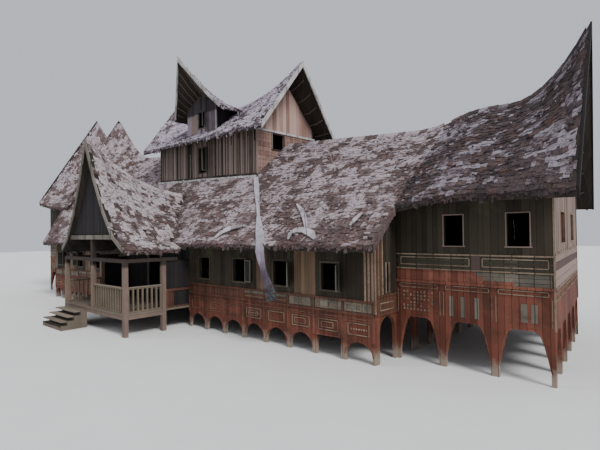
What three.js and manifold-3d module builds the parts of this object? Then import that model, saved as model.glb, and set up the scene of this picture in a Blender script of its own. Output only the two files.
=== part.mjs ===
// Horn-roofed timber house raised on arched skirts, with a roof tower and a front porch.
// Millimetres: X runs along the house, the front faces -Y and Z is up.
import * as THREE from 'three';
import { mergeVertices } from 'three/addons/utils/BufferGeometryUtils.js';
import Module from 'manifold-3d';

const wasm = await Module();
wasm.setup();

// Fits and cutting limits
const GAP = 0.3;
const WALL = 120;
const SKY = 20000;
const ARCH_PARTS = 8;

// Plan of the middle part
const HALF_LENGTH = 13250;
const DEPTH = 10500;
const RIDGE_Y = DEPTH / 2;
const FRONT_BAYS = 8;
const END_BAYS = 8;
const REAR_BAYS = 22;

// Levels of the middle part
const SKIRT_TOP = 1610;
const FLOOR_TOP = 1550;
const DECK = 100;
const WINDOW_CENTRES = [4250, 6650, 9050, 11450];
const WINDOW_WIDTH = 750;
const WINDOW_LOW = 2300;
const WINDOW_HIGH = 3220;
const SLOT_LOW = 690;
const SLOT_HIGH = 850;
const FLOOR_LEG = 200;
const FLOOR_LEGS_X = [-9000, -3000, 3000, 9000];
const FLOOR_LEGS_Y = [3500, 7000];
const BROKEN_BAY = [10800, 11875, -1, 700];

// Wings: their end walls are skewed, so the rear corner lies nearer the middle
const WING_FRONT = 1360;
const WING_BACK = DEPTH - WING_FRONT;
const WING_END = 18110;
const WING_REAR_END = 17100;
const WING_BAYS = 3;
const WING_END_BAYS = 5;
const WING_SKIRT_TOP = 2630;
const WING_FLOOR_TOP = 3050;
const WING_WINDOWS = [15300, 17210];
const WING_REAR_WINDOWS = [14500, 16100];
const WING_WINDOW_WIDTH = 620;
const WING_WINDOW_LOW = 3820;
const WING_WINDOW_HIGH = 4770;
const END_WINDOWS = [2310, 5690];
const END_WINDOW_WIDTH = 1100;
const END_WINDOW_RAISE = 60;
const ROOM_OPENING = [1900, 8600, WING_FLOOR_TOP, 5000];

// Roofs
const ROOF_THICK = 230;
const EAVE_Y = -600;
const EAVE_Z = 3880;
const SLOPE_BULGE = 190;
const EAVE_REACH = RIDGE_Y - EAVE_Y;
const RIDGE_Z = 9250;
const RIDGE_FALL = 0.065;
const MAIN_VERGE = 13600;
const SPIRE_START = 9800;
const SPIRE_END = 14470;
const SPIRE_RISE = 3400;
const SPIRE_POWER = 1.5;
const SPIRE_FOOT = 13900;
const WING_EAVE_Y = 800;
const WING_RISE_START = 12300;
const WING_BEND = 14350;
const WING_RISE_END = 15100;
const WING_RISE = 650;
const RIGHT_EAVE_RISE = 170;
const SLOPE_PARTS = 3;
const HORN_PARTS = 6;
const LEFT_HORN_PARTS = 4;
const HORN_START = 15900;
const HORN_END = 18420;
const HORN_RISE = 2430;
const HORN_POWER = 1.9;
const VERGE_FOOT = 18800;
const VERGE_REAR = 17600;
const LEFT_EAVE_Z = 6350;
const LEFT_EAVE_RISE = 660;
const LEFT_EAVE_POWER = 2;
const LEFT_RIDGE_Z = 11200;
const LEFT_HORN_START = 16000;
const LEFT_HORN_RISE = 3000;
const LEFT_HORN_POWER = 1.1;
const STEP_WALL_INSET = 40;
const STEP_WALL_GAP = 1000;
const SPIRE_INSET = 150;
const SPIRE_BOARD = 60;
const BARGE_RISE = 40;
const BARGE_DROP = 250;
const BARGE_BOARD = 60;

// Tower
const TOWER_HALF = 4420;
const TOWER_FRONT = 3050;
const TOWER_BACK = DEPTH - TOWER_FRONT;
const TOWER_FOOT = 6300;
const TOWER_FLOOR_TOP = 6450;
const TOWER_EAVE_Y = 2450;
const TOWER_EAVE_BACK = DEPTH - TOWER_EAVE_Y;
const TOWER_EAVE_Z = 9550;
const TOWER_RIDGE_Z = 11650;
const TOWER_HORN_RISE = 1500;
const TOWER_HORN_POWER = 2.2;
const TOWER_EAVE_HALF = 5450;
const TOWER_HORN_REACH = 180;
const TOWER_POST = 250;
const TOWER_WINDOW = [-390, 300, 7750, 9160];
const TOWER_SIDE_WINDOW = [4170, 5050, 8650, 9450];

// Gable over the tower front
const DORMER_HALF = 2170;
const DORMER_WALL_HALF = 1350;
const DORMER_WALL_Y = 3000;
const DORMER_WALL_BACK = 4700;
const DORMER_BOARD = 80;
const DORMER_WINDOW = [-300, 260, 10250, 11150];

// Porch
const PORCH_HALF = 3000;
const PORCH_EDGE = PORCH_HALF + 50;
const PORCH_FRONT = -3235;
const PORCH_POST = 190;
const PORCH_POST_HALF = PORCH_POST / 2;
const PORCH_WALL_Y = -1260;
const PORCH_FLOOR_TOP = 980;
const PORCH_PLATE_TOP = 3260;
const PORCH_PLATE = 160;
const PORCH_SHOULDER = 20;
const PORCH_LAP = 50;
const PORCH_EAVE_CLEAR = 60;
const PORCH_DECK_INSET = 30;
const PORCH_BOARD_HALF = 40;
const PORCH_GABLE_HALF = 30;
const PORCH_EAVE_HALF = 3250;
const PORCH_TIE_HALF = 2240;
const PORCH_TIE_LOW = 4080;
const PORCH_TIE_TOP = 4300;
const RAIL_TOP = 2040;
const RAIL_BAR = 70;
const FRONT_BALUSTERS = 12;
const SIDE_BALUSTERS = 7;
const STEP_COUNT = 5;
const STEP_GOING = 290;
const STEP_BOARD = 45;
const STEP_LEFT = -2720;
const STEP_RIGHT = -500;
const DOOR_HALF = 550;
const DOOR_TOP = 3250;

const house = new THREE.Group();

// One material for each kind of surface
const paint = (color, roughness = 0.85) => new THREE.MeshStandardMaterial({ color, roughness });
const RED_BOARD = paint(0x8a4a3c);
const GREY_BOARD = paint(0x6f665c);
const DARK_BOARD = paint(0x453b35);
const FLOOR_BOARD = paint(0x75685a);
const FRAME_TIMBER = paint(0x83725f);
const ROOFING = paint(0x6c6066, 0.95);
const PALE_TRIM = paint(0xa59a8c);

// Geometry to solid and back
function toSolid(geometry) {
  const plain = geometry.clone();
  plain.deleteAttribute('normal');
  plain.deleteAttribute('uv');
  const merged = mergeVertices(plain, 1e-3);
  return new wasm.Manifold(new wasm.Mesh({
    numProp: 3,
    vertProperties: new Float32Array(merged.attributes.position.array),
    triVerts: new Uint32Array(merged.index.array),
  }));
}

function toGeometry(solid) {
  const mesh = solid.getMesh();
  const geometry = new THREE.BufferGeometry();
  geometry.setAttribute('position', new THREE.BufferAttribute(mesh.vertProperties, 3));
  geometry.setIndex(new THREE.BufferAttribute(mesh.triVerts, 1));
  return geometry;
}

// Offcuts that a cut leaves loose are dropped
function largest(solid) {
  const pieces = solid.decompose();
  return pieces.reduce((best, piece) => (piece.volume() > best.volume() ? piece : best));
}

function add(name, solid, material) {
  const geometry = toGeometry(largest(solid));
  geometry.computeVertexNormals();
  const mesh = new THREE.Mesh(geometry, material.clone());
  mesh.name = name;
  house.add(mesh);
}

// Simple shapes
function block(x0, x1, y0, y1, z0, z1) {
  const geometry = new THREE.BoxGeometry(x1 - x0, y1 - y0, z1 - z0);
  return toSolid(geometry.translate((x0 + x1) / 2, (y0 + y1) / 2, (z0 + z1) / 2));
}

function outline(points) {
  return new THREE.Shape(points.map(([a, b]) => new THREE.Vector2(a, b)));
}

const rectangle = (a0, a1, b0, b1) => outline([[a0, b0], [a1, b0], [a1, b1], [a0, b1]]);

function extrude(shape, depth) {
  return new THREE.ExtrudeGeometry(shape, { depth, bevelEnabled: false });
}

const without = (solid, cuts) => cuts.reduce((rest, cut) => rest.subtract(cut), solid);

// A panel drawn in X and Z, standing from y0 to y1, with holes given as [x0, x1, z0, z1]
function panelAlongX(shape, y0, y1, holes = []) {
  const solid = toSolid(extrude(shape, y1 - y0).rotateX(Math.PI / 2).translate(0, y1, 0));
  return without(solid, holes.map(([a0, a1, b0, b1]) => block(a0, a1, y0 - 1, y1 + 1, b0, b1)));
}

// A panel drawn in Y and Z, standing from x0 to x1, with holes given as [y0, y1, z0, z1]
function panelAlongY(shape, x0, x1, holes = []) {
  const turned = extrude(shape, x1 - x0).rotateX(Math.PI / 2).rotateZ(Math.PI / 2);
  const solid = toSolid(turned.translate(x0, 0, 0));
  return without(solid, holes.map(([a0, a1, b0, b1]) => block(x0 - 1, x1 + 1, a0, a1, b0, b1)));
}

// A slab drawn in X and Y, lying from z0 to z1
function slab(points, z0, z1) {
  return toSolid(extrude(outline(points), z1 - z0).translate(0, 0, z0));
}

// Half an arch from its leg to its crown, in shares of its half width and of its rise
const ROUND = Array.from({ length: ARCH_PARTS / 2 + 1 }, (_, n) => {
  const turn = (Math.PI * n) / ARCH_PARTS;
  return [Math.cos(turn), Math.sin(turn)];
});
const FLARED = [[1, 0], [0.9, 0.3], [0.72, 0.75], [0.6, 0.93], [0.4, 1], [0, 1]];

// The outline of a board wall that stands on legs with arches between them
function archedOutline(a0, a1, top, count, { leg, spring, crown, half }) {
  const pitch = (a1 - a0) / count;
  const points = [[a0, 0]];
  for (let k = 0; k < count; k += 1) {
    const centre = a0 + (k + 0.5) * pitch;
    const reach = (pitch - leg) / 2;
    const onArch = (side, [out, up]) => [centre + side * reach * out, spring + (crown - spring) * up];
    points.push([centre - reach, 0], ...half.map((p) => onArch(-1, p)));
    points.push(...half.slice(0, -1).reverse().map((p) => onArch(1, p)), [centre + reach, 0]);
  }
  return outline([...points, [a1, 0], [a1, top], [a0, top]]);
}

const LOW_ARCH = { leg: 200, spring: 210, crown: 660, half: ROUND };
const RETURN_ARCH = { leg: 320, spring: 1000, crown: 1500, half: ROUND };
const WING_ARCH = { leg: 230, spring: 350, crown: 1450, half: FLARED };

// A closed sheet between two grids of points that match row by row
function sheet(top, bottom) {
  const rows = top.length;
  const columns = top[0].length;
  const under = rows * columns;
  const at = (i, j) => i * columns + j;
  const faces = [];
  const quad = (a, b, c, d) => faces.push(a, b, c, a, c, d);
  const strip = (a, b) => quad(b, a, under + a, under + b);
  for (let i = 0; i + 1 < rows; i += 1) {
    for (let j = 0; j + 1 < columns; j += 1) {
      quad(at(i, j), at(i + 1, j), at(i + 1, j + 1), at(i, j + 1));
      quad(under + at(i, j), under + at(i, j + 1), under + at(i + 1, j + 1), under + at(i + 1, j));
    }
    strip(at(i, 0), at(i + 1, 0));
    strip(at(i + 1, columns - 1), at(i, columns - 1));
  }
  for (let j = 0; j + 1 < columns; j += 1) {
    strip(at(rows - 1, j), at(rows - 1, j + 1));
    strip(at(0, j + 1), at(0, j));
  }
  const geometry = new THREE.BufferGeometry();
  const positions = [...top.flat(), ...bottom.flat()].flatMap((p) => p.toArray());
  geometry.setAttribute('position', new THREE.Float32BufferAttribute(positions, 3));
  geometry.setIndex(faces);
  return toSolid(geometry);
}

function steps(from, to, count) {
  return Array.from({ length: count + 1 }, (_, k) => from + ((to - from) * k) / count);
}

const mapGrid = (grid, change) => grid.map((row) => row.map((p) => change(p.clone())));
const raised = (grid, by) => mapGrid(grid, (p) => p.setZ(p.z + by));
const levelled = (grid, z) => mapGrid(grid, (p) => p.setZ(z));

// Adds a level border to a grid, as wide as the fitting gap
function spread(grid) {
  const moved = (row, dx, dy) => row.map((p) => new THREE.Vector3(p.x + dx, p.y + dy, p.z));
  const wide = (row) => [...moved(row.slice(0, 1), 0, -GAP), ...row, ...moved(row.slice(-1), 0, GAP)];
  const rows = grid.map(wide);
  return [moved(rows[0], -GAP, 0), ...rows, moved(rows[rows.length - 1], GAP, 0)];
}

// A roof slope: its sheet, the space it needs, all above its underside and all below its top.
// Rows of the grid follow +X and columns follow +Y.
function slope(grid, thick = ROOF_THICK) {
  const wide = spread(grid);
  return {
    sheet: sheet(grid, raised(grid, -thick)),
    loose: sheet(raised(wide, GAP), raised(wide, -thick - GAP)),
    above: sheet(levelled(wide, 2 * SKY), raised(wide, -thick - GAP)),
    below: sheet(raised(wide, GAP), levelled(wide, 0)),
  };
}

const lift = (x, start, end, rise, power) => rise * Math.max(0, (x - start) / (end - start)) ** power;

function smoothLift(x, start, end, rise) {
  const t = Math.min(1, Math.max(0, (x - start) / (end - start)));
  return rise * t * t * (3 - 2 * t);
}

const horn = (x) => lift(x, HORN_START, HORN_END, HORN_RISE, HORN_POWER);

// Ridge of the middle part and the right wing: a spire at the left, a horn at the right
function ridge(x) {
  const spire = lift(-x, SPIRE_START, SPIRE_END, SPIRE_RISE, SPIRE_POWER);
  const step = smoothLift(x, WING_RISE_START, WING_RISE_END, WING_RISE);
  return RIDGE_Z - RIDGE_FALL * x + spire + step + horn(x);
}

const share = (y) => 1 - Math.abs(y - RIDGE_Y) / EAVE_REACH;

// The height of the main slopes: a straight rafter line with a slight bulge, under the ridge at a station
function slopeZ(station, y) {
  const s = share(y);
  return EAVE_Z + (ridge(station) - EAVE_Z) * s + SLOPE_BULGE * Math.sin(Math.PI * s);
}

const MAIN_STATIONS = [
  ...steps(-SPIRE_END, -SPIRE_START, 6),
  0,
  ...steps(WING_RISE_START, MAIN_VERGE, 2),
];

function mainGrid(yFrom, yTo) {
  return MAIN_STATIONS.map((station, k) => steps(yFrom, yTo, SLOPE_PARTS).map((y) => {
    const foot = k === 0 ? -SPIRE_FOOT : Math.max(station, -SPIRE_FOOT + k * 10);
    return new THREE.Vector3(foot + (station - foot) * share(y), y, slopeZ(station, y));
  }));
}

const mainFront = slope(mainGrid(EAVE_Y, RIDGE_Y - GAP / 2));
const mainRear = slope(mainGrid(RIDGE_Y + GAP / 2, DEPTH - EAVE_Y));

// The verge of a wing roof leans in from the front corner over the horn to the rear corner
function vergeX(y) {
  const front = (RIDGE_Y - y) / (RIDGE_Y - WING_EAVE_Y);
  const foot = front > 0 ? VERGE_FOOT : VERGE_REAR;
  return HORN_END + (foot - HORN_END) * Math.abs(front);
}

// The right wing roof goes on from the middle one, with a level eave below its horn
function rightGrid(yFrom, yTo) {
  const stations = [MAIN_VERGE + GAP, WING_BEND, WING_RISE_END, ...steps(HORN_START, HORN_END, HORN_PARTS)];
  return stations.map((station) => steps(yFrom, yTo, SLOPE_PARTS).map((y) => {
    const along = (station - MAIN_VERGE) / (HORN_END - MAIN_VERGE);
    const x = MAIN_VERGE + along * (vergeX(y) - MAIN_VERGE);
    const low = Math.abs(y - RIDGE_Y) / (RIDGE_Y - WING_EAVE_Y);
    const raise = smoothLift(station, MAIN_VERGE, WING_RISE_END, RIGHT_EAVE_RISE) * low;
    const level = horn(station) * (1 - low - share(y));
    return new THREE.Vector3(Math.max(x, MAIN_VERGE + GAP), y, slopeZ(station, y) + raise + level);
  }));
}

const rightFront = slope(rightGrid(WING_EAVE_Y, RIDGE_Y - GAP / 2));
const rightRear = slope(rightGrid(RIDGE_Y + GAP / 2, DEPTH - WING_EAVE_Y));

// The left wing roof rides higher than the middle part and ends in the tallest horn
function leftGrid(yFrom, yTo) {
  const stations = [...steps(HORN_END, LEFT_HORN_START, LEFT_HORN_PARTS), WING_RISE_END, HALF_LENGTH + GAP];
  return stations.map((station) => [yFrom, yTo].map((y) => {
    const along = (station - HALF_LENGTH) / (HORN_END - HALF_LENGTH);
    const x = HALF_LENGTH + along * (vergeX(y) - HALF_LENGTH);
    const eave = LEFT_EAVE_Z + lift(station, HALF_LENGTH, HORN_END, LEFT_EAVE_RISE, LEFT_EAVE_POWER);
    const horned = lift(station, LEFT_HORN_START, HORN_END, LEFT_HORN_RISE, LEFT_HORN_POWER);
    const top = LEFT_RIDGE_Z + horned;
    const height = 1 - Math.abs(y - RIDGE_Y) / (RIDGE_Y - WING_EAVE_Y);
    return new THREE.Vector3(-Math.max(x, HALF_LENGTH + GAP), y, eave + (top - eave) * height);
  }));
}

const leftFront = slope(leftGrid(WING_EAVE_Y, RIDGE_Y - GAP / 2));
const leftRear = slope(leftGrid(RIDGE_Y + GAP / 2, DEPTH - WING_EAVE_Y));

// Tower roof: a saddle with a horn over each gable
const towerRidge = (u) => TOWER_RIDGE_Z + TOWER_HORN_RISE * Math.abs(u) ** TOWER_HORN_POWER;

function towerGrid(yFrom, yTo) {
  return steps(-1, 1, 10).map((u) => [yFrom, yTo].map((y) => {
    const height = 1 - Math.abs(y - RIDGE_Y) / (RIDGE_Y - TOWER_EAVE_Y);
    const x = u * (TOWER_EAVE_HALF + TOWER_HORN_REACH * height);
    return new THREE.Vector3(x, y, TOWER_EAVE_Z + (towerRidge(u) - TOWER_EAVE_Z) * height);
  }));
}

const towerFront = slope(towerGrid(TOWER_EAVE_Y, RIDGE_Y - GAP / 2));
const towerRear = slope(towerGrid(RIDGE_Y + GAP / 2, TOWER_EAVE_BACK));

// A gable roof that runs back from a raised front point, its sides hollow and its ridge falling
function hornedGable({ half, apexY, footY, backY, eaveZ, ridgeZ, rise, power, curve, thick }) {
  return slope(steps(-1, 1, 8).map((side) => steps(0, 1, 5).map((t) => {
    const out = Math.abs(side);
    const frontY = apexY + (footY - apexY) * out;
    const top = ridgeZ + rise * (1 - t) ** power;
    const z = eaveZ + (top - eaveZ) * (1 - out) ** curve;
    return new THREE.Vector3(side * half, frontY + (backY - frontY) * t, z);
  })), thick);
}

const porchRoof = hornedGable({
  half: PORCH_EAVE_HALF, apexY: -3480, footY: -3300, backY: 2700, eaveZ: 3650,
  ridgeZ: 6350, rise: 2410, power: 2.6, curve: 1.6, thick: 200,
});
const dormerRoof = hornedGable({
  half: DORMER_HALF, apexY: 1460, footY: 2650, backY: 5000, eaveZ: 11070,
  ridgeZ: 11590, rise: 2280, power: 2, curve: 1.1, thick: 160,
});

const underMain = (solid) => solid.subtract(mainFront.above).subtract(mainRear.above);
const underTower = (solid) => solid.subtract(towerFront.above).subtract(towerRear.above);
const SIDES = [['right', 1], ['left', -1]];
const toSide = (solid, sign) => (sign > 0 ? solid : solid.mirror([1, 0, 0]));
const ordered = (a, b) => [Math.min(a, b), Math.max(a, b)];

// Middle part
const centreWindow = (x) => [x - WINDOW_WIDTH / 2, x + WINDOW_WIDTH / 2, WINDOW_LOW, WINDOW_HIGH];

function centreFront(side, sign) {
  const skirt = archedOutline(PORCH_EDGE, HALF_LENGTH, SKIRT_TOP, FRONT_BAYS, LOW_ARCH);
  const broken = sign > 0 ? [BROKEN_BAY] : [];
  add(`${side}_front_skirt`, toSide(panelAlongX(skirt, 0, WALL, broken), sign), RED_BOARD);
  const wall = rectangle(PORCH_EDGE, HALF_LENGTH, SKIRT_TOP + GAP, SKY);
  const solid = panelAlongX(wall, 0, WALL, WINDOW_CENTRES.map(centreWindow));
  add(`${side}_front_wall`, underMain(toSide(solid, sign)), GREY_BOARD);
}

function centreEnd(side, sign) {
  const y0 = WALL + GAP;
  const shape = archedOutline(y0, DEPTH - y0, SKY, END_BAYS, RETURN_ARCH);
  const holes = [[SLOT_LOW, SLOT_HIGH, WINDOW_LOW, WINDOW_HIGH], ROOM_OPENING];
  const solid = panelAlongY(shape, HALF_LENGTH - WALL, HALF_LENGTH, holes);
  add(`${side}_end_wall`, underMain(toSide(solid, sign)), RED_BOARD);
}

function centreRear() {
  const skirt = archedOutline(-HALF_LENGTH, HALF_LENGTH, SKIRT_TOP, REAR_BAYS, LOW_ARCH);
  add('rear_skirt', panelAlongX(skirt, DEPTH - WALL, DEPTH), RED_BOARD);
  const wall = rectangle(-HALF_LENGTH, HALF_LENGTH, SKIRT_TOP + GAP, SKY);
  const holes = [1, -1].flatMap((sign) => WINDOW_CENTRES.map((x) => centreWindow(sign * x)));
  add('rear_wall', underMain(panelAlongX(wall, DEPTH - WALL, DEPTH, holes)), GREY_BOARD);
}

function entranceWall() {
  const reach = PORCH_EDGE - GAP;
  const shape = rectangle(-reach, reach, PORCH_FLOOR_TOP + GAP, SKY);
  const solid = panelAlongX(shape, 0, WALL, [[-DOOR_HALF, DOOR_HALF, FLOOR_TOP, DOOR_TOP]]);
  add('entrance_wall', underMain(solid), DARK_BOARD);
}

function hallFloor() {
  const reach = HALF_LENGTH - WALL - GAP;
  const near = WALL + GAP;
  let solid = block(-reach, reach, near, DEPTH - near, FLOOR_TOP - DECK, FLOOR_TOP);
  for (const x of FLOOR_LEGS_X) {
    for (const y of FLOOR_LEGS_Y) {
      const half = FLOOR_LEG / 2;
      solid = solid.add(block(x - half, x + half, y - half, y + half, 0, FLOOR_TOP - DECK / 2));
    }
  }
  add('hall_floor', solid, FLOOR_BOARD);
}

// Wings
const wingWindow = (x) => [
  x - WING_WINDOW_WIDTH / 2, x + WING_WINDOW_WIDTH / 2, WING_WINDOW_LOW, WING_WINDOW_HIGH,
];

const skew = Math.atan2(WING_END - WING_REAR_END, WING_BACK - WING_FRONT);

// The end wall is drawn straight, turned about its front corner and trimmed to fit between its neighbours
function skewedEnd() {
  const length = (WING_BACK - WING_FRONT) / Math.cos(skew);
  const shape = archedOutline(0, length, SKY, WING_END_BAYS, WING_ARCH);
  const half = END_WINDOW_WIDTH / 2;
  const [low, high] = [WING_WINDOW_LOW + END_WINDOW_RAISE, WING_WINDOW_HIGH + END_WINDOW_RAISE];
  const holes = END_WINDOWS.map((y) => [y - half, y + half, low, high]);
  const solid = panelAlongY(shape, -WALL, 0, holes)
    .rotate([0, 0, (skew * 180) / Math.PI])
    .translate([WING_END, WING_FRONT, 0]);
  const nearby = (y0, y1) => block(HALF_LENGTH, SKY, y0, y1, -GAP, SKY);
  return solid
    .subtract(nearby(0, WING_FRONT + WALL + GAP))
    .subtract(nearby(WING_BACK - WALL - GAP, DEPTH));
}

function wing(side, sign, slopes) {
  const from = HALF_LENGTH + GAP;
  const cutBack = (rest, roof) => rest.subtract(roof.above);
  const under = (solid) => slopes.reduce(cutBack, underMain(toSide(solid, sign)));
  const skirt = archedOutline(from, WING_END, WING_SKIRT_TOP, WING_BAYS, WING_ARCH);
  add(`${side}_wing_skirt`, toSide(panelAlongX(skirt, WING_FRONT, WING_FRONT + WALL), sign), RED_BOARD);
  const upper = rectangle(from, WING_END, WING_SKIRT_TOP + GAP, SKY);
  const front = panelAlongX(upper, WING_FRONT, WING_FRONT + WALL, WING_WINDOWS.map(wingWindow));
  add(`${side}_wing_front_wall`, under(front), GREY_BOARD);
  const lower = archedOutline(from, WING_REAR_END, SKY, WING_BAYS, WING_ARCH);
  const rear = panelAlongX(lower, WING_BACK - WALL, WING_BACK, WING_REAR_WINDOWS.map(wingWindow));
  add(`${side}_wing_rear_wall`, under(rear), GREY_BOARD);
  add(`${side}_wing_end_wall`, under(skewedEnd()), RED_BOARD);
  const y0 = WING_FRONT + WALL + GAP;
  const y1 = WING_BACK - WALL - GAP;
  const inner = (y) => WING_END - (y - WING_FRONT) * Math.tan(skew) - WALL / Math.cos(skew) - GAP;
  const floor = slab([[from, y0], [inner(y0), y0], [inner(y1), y1], [from, y1]],
    WING_FLOOR_TOP - DECK, WING_FLOOR_TOP);
  add(`${side}_wing_floor`, toSide(floor, sign), FLOOR_BOARD);
}

// Closes the step between the middle roof and the higher left wing roof
function leftStepWalls() {
  const inside = -HALF_LENGTH - GAP - STEP_WALL_INSET;
  const wall = block(inside - WALL, inside, 0, DEPTH, 0, SKY)
    .subtract(leftFront.above).subtract(leftRear.above)
    .subtract(mainFront.below).subtract(mainRear.below);
  const halves = [
    ['front', WING_EAVE_Y, RIDGE_Y - STEP_WALL_GAP],
    ['rear', RIDGE_Y + STEP_WALL_GAP, DEPTH - WING_EAVE_Y],
  ];
  for (const [side, y0, y1] of halves) {
    const half = wall.intersect(block(-SKY, 0, y0, y1, 0, SKY));
    add(`left_step_wall_${side}`, half, DARK_BOARD);
  }
}

function spireGable() {
  const outside = -SPIRE_FOOT + SPIRE_INSET;
  const panel = block(outside, outside + SPIRE_BOARD, 0, DEPTH, 0, SKY);
  const solid = underMain(panel).subtract(leftFront.below).subtract(leftRear.below);
  add('spire_gable', solid, DARK_BOARD);
}

// Tower
function tower() {
  const wall = rectangle(-TOWER_HALF, TOWER_HALF, TOWER_FOOT, SKY);
  const front = panelAlongX(wall, TOWER_FRONT, TOWER_FRONT + WALL, [TOWER_WINDOW]);
  add('tower_front_wall', underTower(front), GREY_BOARD);
  const rear = panelAlongX(wall, TOWER_BACK - WALL, TOWER_BACK, [TOWER_WINDOW]);
  add('tower_rear_wall', underTower(rear), GREY_BOARD);
  const y0 = TOWER_FRONT + WALL + GAP;
  const y1 = TOWER_BACK - WALL - GAP;
  for (const [side, sign] of SIDES) {
    const shape = rectangle(y0, y1, TOWER_FOOT, SKY);
    const solid = panelAlongY(shape, TOWER_HALF - WALL, TOWER_HALF, [TOWER_SIDE_WINDOW]);
    add(`tower_${side}_wall`, underTower(toSide(solid, sign)), GREY_BOARD);
  }
  const reach = TOWER_HALF - WALL - GAP;
  let frame = block(-reach, reach, y0, y1, TOWER_FLOOR_TOP - DECK, TOWER_FLOOR_TOP);
  for (const [, sign] of SIDES) {
    const [x0, x1] = ordered(sign * reach, sign * (reach - TOWER_POST));
    for (const y of [y0, y1 - TOWER_POST]) {
      frame = frame.add(block(x0, x1, y, y + TOWER_POST, FLOOR_TOP + GAP, TOWER_FLOOR_TOP - DECK / 2));
    }
  }
  add('tower_floor', frame, FRAME_TIMBER);
}

function dormer() {
  const half = DORMER_WALL_HALF;
  const inner = half - DORMER_BOARD;
  const y0 = DORMER_WALL_Y;
  const y1 = DORMER_WALL_BACK;
  const plan = [
    [-half, y0], [half, y0], [half, y1], [inner, y1],
    [inner, y0 + DORMER_BOARD], [-inner, y0 + DORMER_BOARD], [-inner, y1], [-half, y1],
  ];
  const [a, b, low, high] = DORMER_WINDOW;
  const hole = block(a, b, y0 - DORMER_BOARD, y0 + 2 * DORMER_BOARD, low, high);
  const wall = slab(plan, TOWER_EAVE_Z, SKY).subtract(dormerRoof.above)
    .subtract(towerFront.below).subtract(hole);
  add('tower_dormer_wall', wall, GREY_BOARD);
  add('tower_dormer_roof', dormerRoof.sheet.subtract(towerFront.below), ROOFING);
}

// Porch
function porchFrame() {
  const half = PORCH_POST_HALF;
  const y0 = PORCH_FRONT;
  const y1 = y0 + PORCH_POST;
  const under = PORCH_FLOOR_TOP - DECK - GAP;
  const plateLow = PORCH_PLATE_TOP - PORCH_PLATE;
  let frame = block(-PORCH_HALF, PORCH_HALF, y0, y1, plateLow, PORCH_PLATE_TOP);
  frame = frame.add(block(-PORCH_HALF, PORCH_HALF, y0, y1 - PORCH_SHOULDER, under - PORCH_PLATE, under));
  frame = frame.add(block(-half, half, y0, y1, PORCH_FLOOR_TOP + GAP, PORCH_TIE_TOP));
  const [tieFront, tieBack] = [y0 + PORCH_SHOULDER, y1 - PORCH_SHOULDER];
  frame = frame.add(block(-PORCH_TIE_HALF, PORCH_TIE_HALF, tieFront, tieBack, PORCH_TIE_LOW, PORCH_TIE_TOP));
  const slim = half - PORCH_SHOULDER;
  const innerBack = PORCH_WALL_Y - PORCH_POST;
  const plateBack = EAVE_Y - PORCH_EAVE_CLEAR;
  for (const [, sign] of SIDES) {
    const x = sign * PORCH_HALF;
    frame = frame.add(block(x - half, x + half, y0, y1, 0, PORCH_PLATE_TOP));
    frame = frame.add(block(x - half, x + half, y0 + half, plateBack, plateLow, PORCH_PLATE_TOP));
    frame = frame.add(block(x - half, x + half, innerBack, PORCH_WALL_Y, 0, plateLow + PORCH_LAP));
    frame = frame.add(block(x - slim, x + slim, y0 + half, PORCH_WALL_Y - half, under - PORCH_PLATE, under));
  }
  add('porch_frame', frame.subtract(porchRoof.above), FRAME_TIMBER);
}

function porchFloor() {
  const half = PORCH_POST_HALF + GAP;
  const edge = PORCH_EDGE;
  const low = PORCH_FLOOR_TOP - DECK;
  let deck = block(-edge, edge, PORCH_FRONT + PORCH_DECK_INSET, -GAP, low, PORCH_FLOOR_TOP);
  for (const x of [-PORCH_HALF, PORCH_HALF]) {
    for (const y of [PORCH_FRONT, PORCH_WALL_Y - PORCH_POST]) {
      deck = deck.subtract(block(x - half, x + half, y - GAP, y + PORCH_POST + GAP, 0, 2 * PORCH_FLOOR_TOP));
    }
  }
  const lip = block(-edge + GAP, edge - GAP, -PORCH_POST, WALL, low, PORCH_FLOOR_TOP);
  add('porch_floor', deck.add(lip), FLOOR_BOARD);
}

function railingGaps(a0, a1, low, high, count) {
  const pitch = (a1 - a0 - RAIL_BAR) / count;
  return steps(0, count - 1, count - 1).map((k) => [
    a0 + k * pitch + RAIL_BAR, a0 + (k + 1) * pitch, low + RAIL_BAR, high - RAIL_BAR,
  ]);
}

function porchSides() {
  const low = PORCH_FLOOR_TOP + GAP;
  const y = PORCH_FRONT + PORCH_POST_HALF - RAIL_BAR / 2;
  const start = PORCH_POST_HALF + GAP;
  const span = [start, PORCH_HALF - start, low, RAIL_TOP];
  const front = panelAlongX(rectangle(...span), y, y + RAIL_BAR, railingGaps(...span, FRONT_BALUSTERS));
  add('porch_front_railing', front, FRAME_TIMBER);
  for (const [side, sign] of SIDES) {
    const from = PORCH_FRONT + PORCH_POST + GAP;
    const run = [from, PORCH_WALL_Y - PORCH_POST - GAP, low, RAIL_TOP];
    const mid = PORCH_HALF - RAIL_BAR / 2;
    const rails = panelAlongY(rectangle(...run), mid, mid + RAIL_BAR, railingGaps(...run, SIDE_BALUSTERS));
    add(`porch_${side}_railing`, toSide(rails, sign), FRAME_TIMBER);
    const [inner, outer] = [PORCH_HALF - PORCH_BOARD_HALF, PORCH_HALF + PORCH_BOARD_HALF];
    const wall = block(inner, outer, PORCH_WALL_Y + GAP, -GAP, low, PORCH_PLATE_TOP - PORCH_PLATE - GAP);
    add(`porch_${side}_wall`, toSide(wall, sign), DARK_BOARD);
  }
}

function porchGable() {
  const y = PORCH_FRONT + PORCH_POST_HALF;
  const [front, back] = [y - PORCH_GABLE_HALF, y + PORCH_GABLE_HALF];
  const panel = block(-PORCH_HALF, PORCH_HALF, front, back, PORCH_TIE_TOP + GAP, SKY);
  add('porch_gable_wall', panel.subtract(porchRoof.above), DARK_BOARD);
  add('porch_roof', porchRoof.sheet.subtract(mainFront.below), ROOFING);
}

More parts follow.
